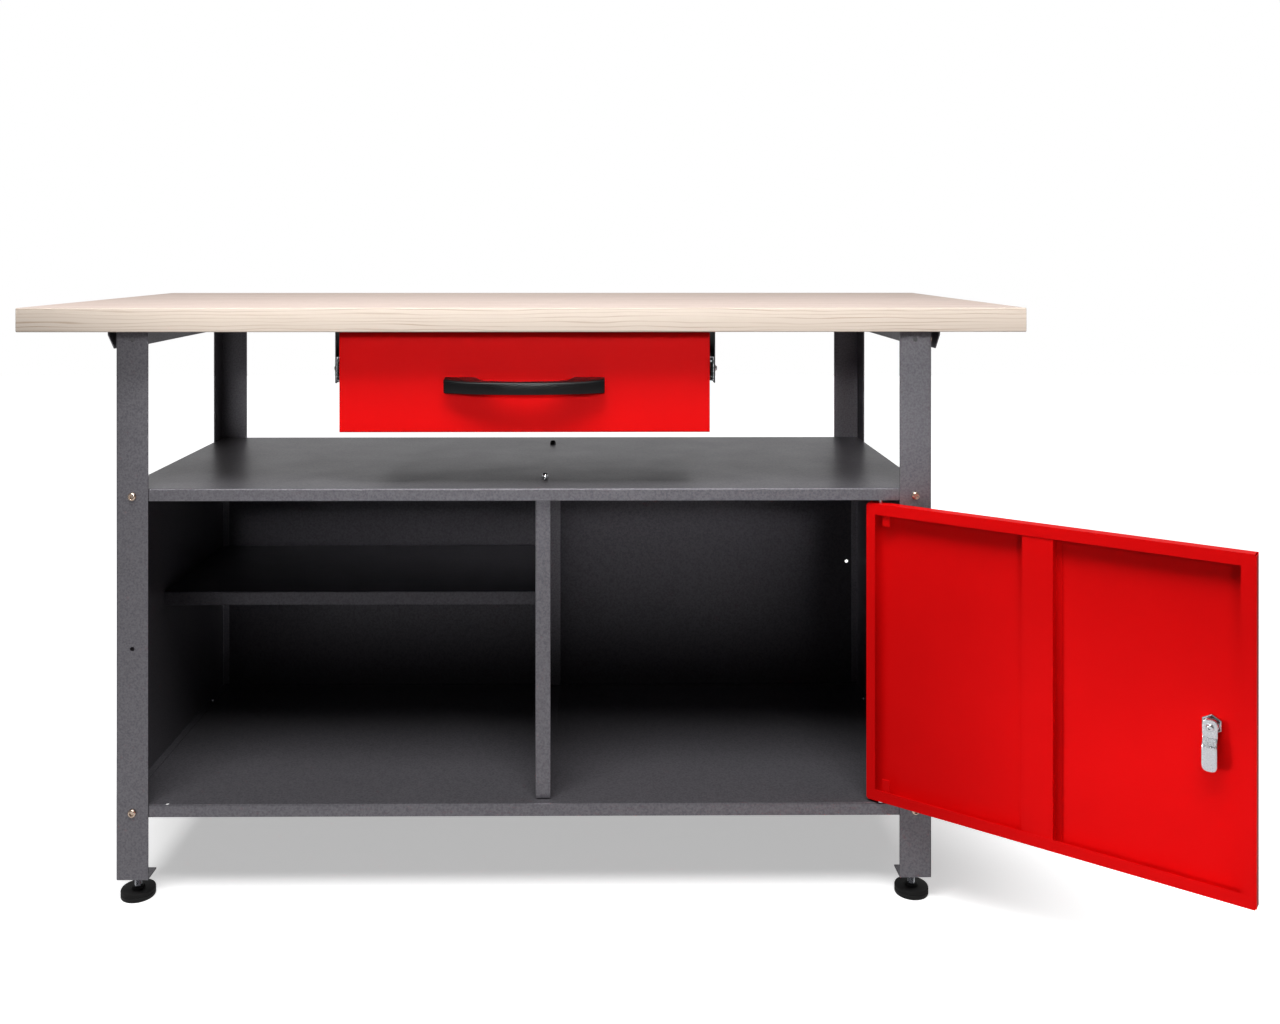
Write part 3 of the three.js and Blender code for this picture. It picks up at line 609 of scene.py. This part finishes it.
@dataclass
class Carcass(Assembly):
    """The worktop board, the legs, the rails and the sheet pans of the cabinet."""

    sheet_ease: float = 0.4
    board_round: float = 1.5
    level_normal: float = 0.9
    hem_gap: float = 0.2
    hem_thickness: float = 0.5
    hem_height: float = 9.0
    sheet_names: tuple[str, ...] = ("mid_shelf", "bottom_shelf", "side_panel_left", "side_panel_right",
                                    "divider", "top_rail_left", "top_rail_right")

    def board(self) -> None:
        """Makes the worktop: a laminated board with a printed edge band and rounded arrises."""
        slab = block(*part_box("worktop"))
        round_edges(slab, slab.edges[:], self.board_round, segments=3)
        slab.normal_update()
        for face in slab.faces:
            face.material_index = 0 if abs(face.normal.z) > self.level_normal else 1
        piece = finish_piece("laminated_board", slab, self.finishes.board_top, "frame",
                             replaced="worktop")
        piece.data.materials.append(self.finishes.board_edge)

    def panel_hem(self) -> None:
        """Makes the hem of the back panel, which laps the bottom shelf's rear lip between the legs."""
        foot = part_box("back_panel")[0].z
        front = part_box("bottom_shelf")[1].y + self.hem_gap * MM
        low = Vector((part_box("leg_rear_left")[1].x, front, foot - self.hem_height * MM))
        high = Vector((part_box("leg_rear_right")[0].x, front + self.hem_thickness * MM, foot))
        # The hem wears the darker copy of the grey enamel: painted shade.
        finish_piece("back_panel_hem", block(low, high), self.finishes.grey_with_painted_shade, "frame")

    def build(self) -> None:
        """Makes the board and the panel's hem, and dresses the legs, the rails and the pans."""
        self.board()
        for name in self.sheet_names:
            self.dress(name, self.finishes.grey, self.sheet_ease)
        # The inner shelf and the back panel wear the darker copy of the grey enamel: painted shade.
        self.dress("inner_shelf", self.finishes.grey_with_painted_shade, self.sheet_ease)
        self.dress("back_panel", self.finishes.grey_with_painted_shade)
        self.panel_hem()
        for corner in Corner:
            self.dress(f"leg_{corner.label}", self.finishes.grey, self.sheet_ease)
            self.dress(f"foot_plate_{corner.label}", self.finishes.grey, self.sheet_ease)


@dataclass
class Bolts(Assembly):
    """Bolts through the legs into the shelf pans and the rails, and the small screws of the cabinet."""

    bolt: Fastener = Fastener()
    screw: Fastener = Fastener(
        head_radius=4.0, head_height=2.2, shank_radius=1.9, shank_length=1.5, socket_radius=1.8,
        socket_depth=1.2)
    cap_screw: Fastener = Fastener(
        head_radius=5.0, head_height=6.0, shank_radius=1.9, shank_length=1.5, socket_radius=2.6,
        socket_depth=3.0)
    divider_screw_depths: Pair = (86.0, 393.0)
    panel_screw_depth: float = 393.0
    panel_screw_inset: float = 6.5
    panel_screw_rise: float = 1.0
    side_bolt_gap: float = 0.1

    def shelf_bolts(self) -> None:
        """Replaces the plain bolts in the front and rear flanges of the legs."""
        for corner in Corner:
            label, _, facing = corner.value
            for level in LEVELS:
                node = f"shelf_bolt_{label}_{level}"
                low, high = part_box(node)
                middle = (low + high) / 2
                face = low.y if facing < 0 else high.y
                origin = Vector((middle.x, face - facing * self.bolt.head_height * MM, middle.z))
                self.bolt.place(f"bolt_{label}_{level}", origin, Vector((0, facing, 0)),
                                self.finishes.bolt_zinc, "frame", node)

    def side_bolts(self) -> None:
        """Adds the bolts in the side flanges of the legs, level with the front ones."""
        for corner in Corner:
            label, out, facing = corner.value
            leg_low, leg_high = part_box(f"leg_{label}")
            outer = leg_low.x if out < 0 else leg_high.x
            leg_face = leg_low.y if facing < 0 else leg_high.y
            for level in LEVELS:
                low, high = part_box(f"shelf_bolt_{label}_{level}")
                inset = abs((low.x + high.x) / 2 - outer)
                origin = Vector((outer + out * self.side_bolt_gap * MM, leg_face - facing * inset,
                                 (low.z + high.z) / 2))
                self.bolt.place(f"side_bolt_{label}_{level}", origin, Vector((out, 0, 0)),
                                self.finishes.bolt_zinc, "frame")

    def cabinet_screws(self) -> None:
        """Adds the screws that hold the divider to the mid shelf and the side panels to the bottom shelf."""
        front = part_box("leg_front_left")[0].y
        shelf_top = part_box("mid_shelf")[1].z
        low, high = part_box("divider")
        middle = (low.x + high.x) / 2
        for end, depth in zip(("front", "rear"), self.divider_screw_depths):
            # The rear screw is the same screw as the front one, drawn in black powder coat as painted shade
            # for the shade it stands in.
            finish = self.finishes.nickel if end == "front" else self.finishes.black_steel
            origin = Vector((middle, front + depth * MM, shelf_top))
            self.cap_screw.place(f"divider_screw_{end}", origin, UP, finish, "frame")
        for side in Side:
            low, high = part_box(f"side_panel_{side.label}")
            outer = high.x if side.sign > 0 else low.x
            origin = Vector((outer - side.sign * self.panel_screw_inset * MM,
                             front + self.panel_screw_depth * MM, low.z + self.panel_screw_rise * MM))
            self.screw.place(f"panel_screw_{side.label}", origin, UP, self.finishes.zinc, "frame")

    def build(self) -> None:
        """Makes every bolt and screw of the cabinet, and dresses the bolts between the rails and the legs."""
        self.shelf_bolts()
        self.side_bolts()
        for corner in Corner:
            self.dress(f"rail_bolt_{corner.label}", self.finishes.bolt_zinc)
        self.cabinet_screws()


@dataclass
class Drawer(Assembly):
    """The drawer, its bow handle, its slides and its hangers."""

    sheet_ease: float = 0.3
    front_ease: float = 0.35
    handle_cuts: int = 71
    end_reach: float = 15.0
    foot_length: float = 46.0
    bar_thickness: float = 10.0
    grip_drop: float = 3.6
    notch_start: float = 61.0
    notch_end: float = 72.0
    front_drop: float = 4.0
    front_end_drop: float = 1.5
    front_end_share: float = 0.35
    front_bow: float = 2.3
    inner_bow: float = 2.6
    inner_squeeze: float = 0.8
    bottom_rise: float = 1.5
    front_round: float = 4.0
    edge_round: float = 1.8
    corner_degrees: float = 50.0
    hanger_screws: int = 3
    hanger_screw_shift: float = 1.0
    hanger_sheet: float = 1.5
    seat_gap: float = 0.25
    slide_bolt_depth: float = 12.0
    flange_screw: Fastener = Fastener(
        head_radius=4.5, head_height=2.4, shank_radius=2.0, shank_length=0.5, socket_radius=1.6,
        socket_depth=1.0)
    slide_bolt: Fastener = Fastener(
        head_radius=4.0, head_height=3.6, shank_radius=2.0, shank_length=0.5, socket_radius=1.4,
        socket_depth=1.2)

    def dress_sheet(self) -> None:
        """Gives the front, the tray, the hangers and the slides their finishes."""
        self.dress("drawer_front", self.finishes.red, self.front_ease)
        self.dress("drawer_tray", self.finishes.black_steel, self.sheet_ease)
        for side in Side:
            self.dress(f"drawer_hanger_{side.label}", self.finishes.black_steel, self.sheet_ease)
            for member in ("outer", "inner", "cage"):
                self.dress(f"slide_{member}_{side.label}", self.finishes.zinc)

    def handle_corner(self, place: float, is_front: bool, is_top: bool) -> Pair:
        """Where one corner line of the bow handle runs at a place along it.

        Args:
            place: Distance from the handle's middle, in metres.
            is_front: True for the lines of its front face.
            is_top: True for the upper lines.

        Returns:
            How far the line stands out from the drawer front and its height, in metres.
        """
        low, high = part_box("drawer_handle")
        half = (high.x - low.x) / 2
        reach = high.y - low.y
        distance = abs(place)
        share = min(distance / half, 1.0)
        if is_front:
            depth = reach - (reach - self.end_reach * MM) * share ** self.front_bow
            ease = min((1.0 - share) / self.front_end_share, 1.0)
            dip = self.front_drop - self.front_end_drop
            drop = self.front_end_drop + dip * math.sin(ease * math.pi / 2)
        else:
            inside = min(distance / (half - self.foot_length * MM), 1.0)
            depth = (reach - self.bar_thickness * MM) * (1 - inside ** self.inner_bow) ** self.inner_squeeze
            ease = (self.notch_end * MM - distance) / ((self.notch_end - self.notch_start) * MM)
            drop = self.grip_drop * (1 - math.cos(min(max(ease, 0.0), 1.0) * math.pi)) / 2
        height = high.z - drop * MM if is_top else low.z + self.bottom_rise * MM
        return depth, height

    def handle(self) -> None:
        """Makes the bow handle from a bar that is cut along its length, bowed, dipped and rounded."""
        low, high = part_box("drawer_handle")
        half = (high.x - low.x) / 2
        bar = bmesh.new()
        bmesh.ops.create_cube(bar, size=1.0)
        bmesh.ops.scale(bar, vec=(2 * half, 1.0, 1.0), verts=bar.verts)
        along = [edge for edge in bar.edges if abs(edge.verts[0].co.x - edge.verts[1].co.x) > half]
        bmesh.ops.subdivide_edges(bar, edges=along, cuts=self.handle_cuts, use_grid_fill=True)
        brow = [edge for edge in bar.edges if all(vert.co.y < 0 < vert.co.z for vert in edge.verts)]
        for vert in bar.verts:
            depth, height = self.handle_corner(vert.co.x, vert.co.y < 0, vert.co.z > 0)
            vert.co = Vector((vert.co.x, -depth, height))
        round_edges(bar, brow, self.front_round, segments=5)
        round_edges(bar, sharp_edges(bar, self.corner_degrees), self.edge_round, segments=3)
        bmesh.ops.translate(bar, vec=((high.x + low.x) / 2, high.y, 0.0), verts=bar.verts)
        finish_piece("bow_handle", bar, self.finishes.nylon, "drawer", smooth_degrees=60.0,
                     replaced="drawer_handle")

    def hanger_fixings(self) -> None:
        """Adds the screws under the hangers' flanges and the bolt ends that hold the slides."""
        for side in Side:
            low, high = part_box(f"drawer_hanger_{side.label}")
            slide_low, slide_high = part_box(f"slide_outer_{side.label}")
            face = slide_high.x if side.sign > 0 else slide_low.x
            length = high.y - low.y
            first = self.slide_bolt_depth * MM
            step = (length - 2 * first) / (self.hanger_screws - 1)
            for number in range(self.hanger_screws):
                share = (number + 0.5) / self.hanger_screws
                origin = Vector(((low.x + high.x) / 2 + side.sign * self.hanger_screw_shift * MM,
                                 low.y + share * length, high.z - self.hanger_sheet * MM))
                self.flange_screw.place(f"hanger_screw_{side.label}_{number}", origin, -UP,
                                        self.finishes.zinc, "frame")
                place = Vector((face + side.sign * (self.hanger_sheet + self.seat_gap) * MM,
                                low.y + first + number * step, (slide_low.z + slide_high.z) / 2))
                self.slide_bolt.place(f"slide_bolt_{side.label}_{number}", place, Vector((side.sign, 0, 0)),
                                      self.finishes.zinc, "frame")

    def build(self) -> None:
        """Makes and dresses the drawer."""
        self.dress_sheet()
        self.handle()
        self.hanger_fixings()


@dataclass
class Door(Assembly):
    """The hinged door pan and its cam lock, placed from the lock joint at rest."""

    joints: dict[str, dict[str, Any]]
    sheet_ease: float = 0.3
    cam_reach: float = 52.0
    cam_heel: float = 9.5
    cam_width: float = 17.0
    cam_thickness: float = 2.0
    cam_joggle: float = 5.0
    cam_end_round: float = 7.0
    cam_end_share: float = 0.35
    cam_edge_round: float = 0.4
    cam_grid: tuple[int, int] = (8, 60)
    joggle_start: float = 13.0
    joggle_length: float = 9.5
    waist_share: float = 0.05
    waist_length: float = 4.0
    corner_degrees: float = 60.0
    nut_flats: float = 21.5
    nut_thickness: float = 5.0
    nut_chamfer: float = 0.9
    chamfer_height: float = 0.54
    barrel_radius: float = 9.0
    bore_gap: float = 0.1
    weld_radius: float = 2.2
    weld_profile: tuple[Pair, ...] = ((0.0, 0.12), (0.6, 0.12), (0.75, 0.35), (1.0, 0.3), (1.3, -0.2))
    weld_steps: int = 20
    weld_inset: float = 8.0
    screw: Fastener = Fastener(
        head_radius=4.5, head_height=2.2, shank_radius=2.4, shank_length=4.0, socket_radius=1.9,
        socket_depth=1.3)

    def inward(self) -> Vector:
        """The door's inner normal at rest."""
        return Vector(self.joints["lock_turn"]["axis"]).normalized()

    def lock_centre(self) -> Vector:
        """The middle of the lock's axis at rest."""
        return Vector(self.joints["lock_turn"]["pos_m"])

    def at_depth(self, spot: Vector, depth: float) -> Vector:
        """A spot moved along the inner normal to that distance from the origin along it."""
        return spot + self.inward() * (depth - spot.dot(self.inward()))

    def dress_sheet(self) -> None:
        """Gives the pan, the stiffener, the tabs and the pins their finishes."""
        for name in ("door_panel", "door_stiffener", "hinge_tab_top", "hinge_tab_bottom"):
            self.dress(name, self.finishes.red, self.sheet_ease)
        for name in ("hinge_pin_top", "hinge_pin_bottom"):
            self.dress(name, self.finishes.zinc)
        for name in ("lock_body", "lock_plug"):
            self.dress(name, self.finishes.nickel)

    def along(self, node: str, direction: Vector) -> Pair:
        """The least and greatest distance from the origin that a CAD node reaches along a unit vector."""
        reaches = [vert.co.dot(direction) for vert in self.nodes[node].data.vertices]
        return min(reaches), max(reaches)

    def lock_frame(self, node: str) -> Matrix:
        """A frame on the lock's axis, at the outer end of a node, with Z into the cabinet and Y down.

        Args:
            node: The CAD node where it starts.

        Returns:
            The matrix.
        """
        inward = self.inward()
        origin = self.at_depth(self.lock_centre(), self.along(node, inward)[0])
        turn = Matrix(((-UP).cross(inward), -UP, inward)).transposed().to_4x4()
        return Matrix.Translation(origin) @ turn

    def nut(self) -> None:
        """Spins the hexagon nut in six steps, with chamfered corners."""
        corner = self.nut_flats / math.sqrt(3)
        bore = (self.barrel_radius + self.bore_gap) / math.cos(math.pi / 6)
        flat = corner - self.nut_chamfer
        height = self.nut_thickness
        corner_up = Matrix.Rotation(math.pi / 6, 4, "Z")
        nut = turned([(bore, 0), (flat, 0), (corner, self.chamfer_height),
                      (corner, height - self.chamfer_height), (flat, height), (bore, height), (bore, 0)],
                     steps=6)
        bmesh.ops.transform(nut, matrix=self.lock_frame("lock_nut") @ corner_up, verts=nut.verts)
        finish_piece("lock_hexagon_nut", nut, self.finishes.nickel, "door", smooth_degrees=10.0,
                     replaced="lock_nut")

    def cam(self) -> None:
        """Makes the cam from a strip that is rounded at both ends, joggled and thickened."""
        length = self.cam_reach + self.cam_heel
        joggle_middle = self.joggle_start + self.joggle_length / 2
        strip = bmesh.new()
        bmesh.ops.create_grid(strip, x_segments=self.cam_grid[0], y_segments=self.cam_grid[1], size=1.0)
        for vert in strip.verts:
            place = (vert.co.y + 1) / 2 * length - self.cam_heel
            from_end = min(place + self.cam_heel, self.cam_reach - place)
            pinch = min(from_end / self.cam_end_round, 1.0)
            bulge = math.sqrt(max(1 - (1 - pinch) ** 2, 0.0))
            width = self.cam_width / 2 * (self.cam_end_share + (1 - self.cam_end_share) * bulge)
            width *= 1 - self.waist_share * math.exp(-((place - joggle_middle) / self.waist_length) ** 2)
            rise = min(max((place - self.joggle_start) / self.joggle_length, 0.0), 1.0)
            vert.co = Vector((vert.co.x * width, place, rise * self.cam_joggle)) * MM
        bmesh.ops.recalc_face_normals(strip, faces=strip.faces)
        bmesh.ops.solidify(strip, geom=strip.faces[:], thickness=-self.cam_thickness * MM)
        round_edges(strip, sharp_edges(strip, self.corner_degrees), self.cam_edge_round, segments=2)
        lowest = min(vert.co.z for vert in strip.verts)
        bmesh.ops.translate(strip, vec=(0, 0, -lowest), verts=strip.verts)
        bmesh.ops.transform(strip, matrix=self.lock_frame("lock_cam"), verts=strip.verts)
        finish_piece("lock_cam_blade", strip, self.finishes.cam_zinc, "lock_cam", smooth_degrees=30.0,
                     replaced="lock_cam")

    def cam_screw(self) -> None:
        """Makes the screw that holds the cam to the key plug."""
        inward = self.inward()
        seat = self.along("lock_cam_screw", inward)[1] - self.screw.head_height * MM
        origin = self.at_depth(self.lock_centre(), seat)
        self.screw.place("cam_screw", origin, inward, self.finishes.nickel, "lock_cam", "lock_cam_screw")

    def welds(self) -> None:
        """Adds the spot welds where the stiffener meets the door's end lips."""
        inward = self.inward()
        lip = self.along("door_panel", inward)[1]
        low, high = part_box("door_stiffener")
        panel_low, panel_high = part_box("door_panel")
        centre = (low + high) / 2
        inset = self.weld_inset * MM
        profile = [(share * self.weld_radius, height) for share, height in self.weld_profile]
        for name, height in (("top", panel_high.z - inset), ("bottom", panel_low.z + inset)):
            origin = self.at_depth(Vector((centre.x, centre.y, height)), lip)
            weld = turned(profile, self.weld_steps)
            bmesh.ops.transform(weld, matrix=placed(origin, inward), verts=weld.verts)
            finish_piece(f"spot_weld_{name}", weld, self.finishes.red, "door")

    def build(self) -> None:
        """Makes and dresses the door and its lock."""
        self.dress_sheet()
        self.nut()
        self.cam()
        self.cam_screw()
        self.welds()


@dataclass
class LevellingFeet:
    """Rubber-rimmed discs on threaded studs."""

    finishes: Finishes
    hub_height: float = 3.0
    hub_radius: float = 8.0
    bore_radius: float = 5.2
    bore_floor: float = 3.8
    sole_round: tuple[Pair, ...] = ((2.5, 0.0), (0.6, 0.5), (0.0, 1.6))
    groove_depth: float = 0.7
    groove_shares: tuple[float, ...] = (0.48, 0.52, 0.58, 0.62)
    rim_round: tuple[Pair, ...] = ((0.0, 2.2), (0.6, 0.7), (2.2, 0.0))
    hub_foot: tuple[Pair, ...] = ((4.0, 0.6), (1.5, 0.2))
    hub_round: Pair = (0.6, 0.4)
    disc_steps: int = 64
    stud_steps: int = 24
    thread_pitch: float = 1.5
    thread_depth: float = 0.7
    thread_start: float = 2.0
    tip_chamfer: float = 1.2
    end_chamfer: float = 0.4

    def disc(self, radius: float, height: float) -> Profile:
        """The profile of a disc with a groove round its rim and a hub on top.

        Args:
            radius: The disc's radius in millimetres.
            height: Its height with the hub.

        Returns:
            The profile, from the middle of its underside round to the bottom of its bore.
        """
        rim = height - self.hub_height
        hub = self.hub_radius
        groove = radius - self.groove_depth
        return [
            (0.0, 0.0), *((radius - inset, rise) for inset, rise in self.sole_round),
            *zip((radius, groove, groove, radius), (rim * share for share in self.groove_shares)),
            *((radius - inset, rim - drop) for inset, drop in self.rim_round),
            *((hub + reach, rim - drop) for reach, drop in self.hub_foot),
            (hub + self.hub_round[0], height - self.hub_round[1]), (hub, height), (self.bore_radius, height),
            (self.bore_radius, self.bore_floor), (0.0, self.bore_floor)]

    def stud(self, radius: float, length: float) -> Profile:
        """The profile of a stud with the ridges of its thread.

        Args:
            radius: The stud's radius in millimetres.
            length: Its length.

        Returns:
            The profile, from its lower end up.
        """
        root = radius - self.thread_depth
        profile = [(0.0, 0.0), (radius - self.end_chamfer, 0.0)]
        for ridge in range(int((length - 2 * self.thread_start) / self.thread_pitch)):
            low = self.thread_start + ridge * self.thread_pitch
            profile += [(root, low), (radius, low + self.thread_pitch / 2)]
        tip = self.tip_chamfer
        return profile + [(root, length - tip), (radius - tip, length), (0.0, length)]

    def spin(self, corner: Corner, kind: str, outline: Callable[[float, float], Profile], steps: int,
             material: Material, slot: str) -> None:
        """Spins one piece of a foot in place of its CAD node.

        Args:
            corner: Where the foot stands.
            kind: The piece's name within the foot.
            outline: Gives the profile for a radius and a height.
            steps: How many steps make the full turn.
            material: Its finish.
            slot: The record's material slot; not used.
        """
        node = f"foot_{kind}_{corner.label}"
        low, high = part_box(node)
        middle = (low + high) / 2
        spun = turned(outline((high.x - low.x) / 2 / MM, (high.z - low.z) / MM), steps)
        bmesh.ops.translate(spun, vec=(middle.x, middle.y, low.z), verts=spun.verts)
        finish_piece(f"levelling_{kind}_{corner.label}", spun, material, f"foot_{corner.label}",
                     replaced=node)

    def build(self) -> None:
        """Makes the four feet."""
        for corner in Corner:
            self.spin(corner, "disc", self.disc, self.disc_steps, self.finishes.rubber, "black_plastic")
            self.spin(corner, "stud", self.stud, self.stud_steps, self.finishes.zinc, "zinc")


@dataclass(frozen=True)
class Lamp:
    """A soft rectangular lamp, with places and sizes in metres, power in watts and spread in degrees."""

    name: str
    place: Triple
    target: Triple
    size: Pair
    power: float
    spread: float = 180.0

    def hang(self) -> None:
        """Hangs the lamp so that it faces its target."""
        data = bpy.data.lights.new(self.name, "AREA")
        data.shape = "RECTANGLE"
        data.size, data.size_y = self.size
        data.energy = self.power
        data.spread = math.radians(self.spread)
        lamp = bpy.data.objects.new(self.name, data)
        lamp.location = self.place
        lamp.rotation_euler = (Vector(self.target) - Vector(self.place)).to_track_quat("-Z", "Y").to_euler()
        bpy.context.scene.collection.objects.link(lamp)


@dataclass
class Studio:
    """The pale floor, the soft lamps, the white surroundings and the camera."""

    floor_size: float = 14.0
    paper_seen: str = "#f4f4f4"
    paper_bounce: str = "#959595"
    camera_right: float = 0.1060
    camera_back: float = 1.6854
    camera_height: float = 0.92763
    camera_yaw: float = 0.007
    focal_pixels: float = 1180.78
    image_width: float = 1280.0
    image_height: float = 1024.0
    centre_x: float = 607.28
    centre_y: float = 251.8
    sensor: float = 36.0
    ambient: float = 0.04
    front_to_back: Pair = (-0.75, 0.1)
    mirrored_levels: Pair = (0.14, 0.6)
    shadow_middle: Pair = (-0.1, 0.1)
    shadow_reach: Pair = (0.78, 0.5)
    fade_range: Pair = (0.7, 1.25)
    glow_levels: Pair = (0.45, 1.0)
    lamps: tuple[Lamp, ...] = (
        Lamp("lamp_key", (-0.3, -1.5, 3.3), (0.0, 0.0, 0.5), (2.6, 1.2), 133.0),
        Lamp("lamp_strip", (0.4, -2.7, 1.4), (0.4, -0.15, 0.78), (2.2, 0.45), 1.75, spread=11.0),
        Lamp("lamp_low", (-1.25, -1.15, 0.5), (0.74, -0.36, 0.24), (0.4, 0.3), 0.27, spread=14.0),
    )

    def camera(self) -> None:
        """Places the camera level with the photograph's, measured from the front faces of the front legs."""
        left_low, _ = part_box("leg_front_left")
        _, right_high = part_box("leg_front_right")
        data = bpy.data.cameras.new("camera")
        data.sensor_fit = "HORIZONTAL"
        data.sensor_width = self.sensor
        data.lens = self.focal_pixels * self.sensor / self.image_width
        data.shift_x = (self.image_width / 2 - self.centre_x) / self.image_width
        data.shift_y = (self.centre_y - self.image_height / 2) / self.image_width
        camera = bpy.data.objects.new("camera", data)
        camera.location = ((left_low.x + right_high.x) / 2 + self.camera_right, left_low.y - self.camera_back,
                           self.camera_height)
        camera.rotation_euler = (math.pi / 2, 0.0, -self.camera_yaw)
        bpy.context.scene.collection.objects.link(camera)
        bpy.context.scene.camera = camera

    def floor(self) -> None:
        """Lays a white floor that keeps the bench's shadow and fades into the white surroundings.

        It throws less light back on the bench than it shows to the eye, as paper on a dark studio floor does.
        """
        ground = bmesh.new()
        bmesh.ops.create_grid(ground, x_segments=1, y_segments=1, size=self.floor_size / 2)
        mesh = bpy.data.meshes.new("floor")
        ground.to_mesh(mesh)
        ground.free()
        graph = MaterialGraph("floor_white_paper")
        tree = graph.tree
        path = add_node(tree, "ShaderNodeLightPath")
        shrink = Vector((1 / self.shadow_reach[0], 1 / self.shadow_reach[1], 0.0))
        middle = Vector((*self.shadow_middle, 0.0))
        round_bench = add_node(tree, "ShaderNodeVectorMath", {
            0: graph.place, 1: shrink, 2: -middle * shrink}, operation="MULTIPLY_ADD")
        distance = add_node(tree, "ShaderNodeVectorMath", {0: (round_bench, "Vector")}, operation="LENGTH")
        rise = remap(tree, (distance, "Value"), self.fade_range, self.glow_levels, "SMOOTHSTEP")
        eye = combine(tree, "MAXIMUM", (path, "Is Camera Ray"), (path, "Is Transmission Ray"))
        strength = combine(tree, "MULTIPLY", eye, rise)
        paper = graph.blend((path, "Is Diffuse Ray"), self.paper_seen, self.paper_bounce)
        matt = add_node(tree, "ShaderNodeBsdfDiffuse", {"Color": paper})
        glow = add_node(tree, "ShaderNodeEmission", {"Strength": strength})
        both = add_node(tree, "ShaderNodeAddShader", {0: (matt, "BSDF"), 1: (glow, "Emission")})
        add_node(tree, "ShaderNodeOutputMaterial", {"Surface": (both, "Shader")})
        graph.material.cycles.emission_sampling = "NONE"
        mesh.materials.append(graph.material)
        floor = bpy.data.objects.new("floor", mesh)
        bpy.context.scene.collection.objects.link(floor)

    def surroundings(self) -> None:
        """Makes the surroundings white to the eye; in reflections they are pale behind and dim in front."""
        world = bpy.data.worlds.new("surroundings")
        world.use_nodes = True
        tree = world.node_tree
        tree.nodes.clear()
        path = add_node(tree, "ShaderNodeLightPath")
        place = add_node(tree, "ShaderNodeTexCoord")
        axes = add_node(tree, "ShaderNodeSeparateXYZ", {0: (place, "Generated")})
        behind = remap(tree, (axes, "Y"), self.front_to_back, self.mirrored_levels, "SMOOTHSTEP")
        mirrored = combine(tree, "MULTIPLY", behind, (path, "Is Glossy Ray"))
        eye = combine(tree, "MAXIMUM", (path, "Is Camera Ray"), (path, "Is Transmission Ray"))
        strength = combine(tree, "MAXIMUM", combine(tree, "MAXIMUM", eye, mirrored), self.ambient)
        white = add_node(tree, "ShaderNodeBackground", {"Color": linear("#ffffff"), "Strength": strength})
        add_node(tree, "ShaderNodeOutputWorld", {"Surface": (white, "Background")})
        world.cycles.sampling_method = "NONE"
        bpy.context.scene.world = world

    def build(self) -> None:
        """Sets up the whole studio."""
        self.camera()
        self.floor()
        self.surroundings()
        for lamp in self.lamps:
            lamp.hang()
        bpy.context.scene.view_settings.view_transform = "Standard"


def main() -> None:
    """Builds the bench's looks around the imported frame."""
    logging.basicConfig(level=logging.INFO, format="%(name)s: %(message)s")
    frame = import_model()
    joints = {joint["name"]: joint for joint in frame["joints"]}
    nodes = frame["nodes"]
    finishes = Finishes()
    for group in (Studio(), Carcass(nodes, finishes), Bolts(nodes, finishes), Drawer(nodes, finishes),
                  Door(nodes, finishes, joints), LevellingFeet(finishes)):
        group.build()


if __name__ == "__main__":
    main()
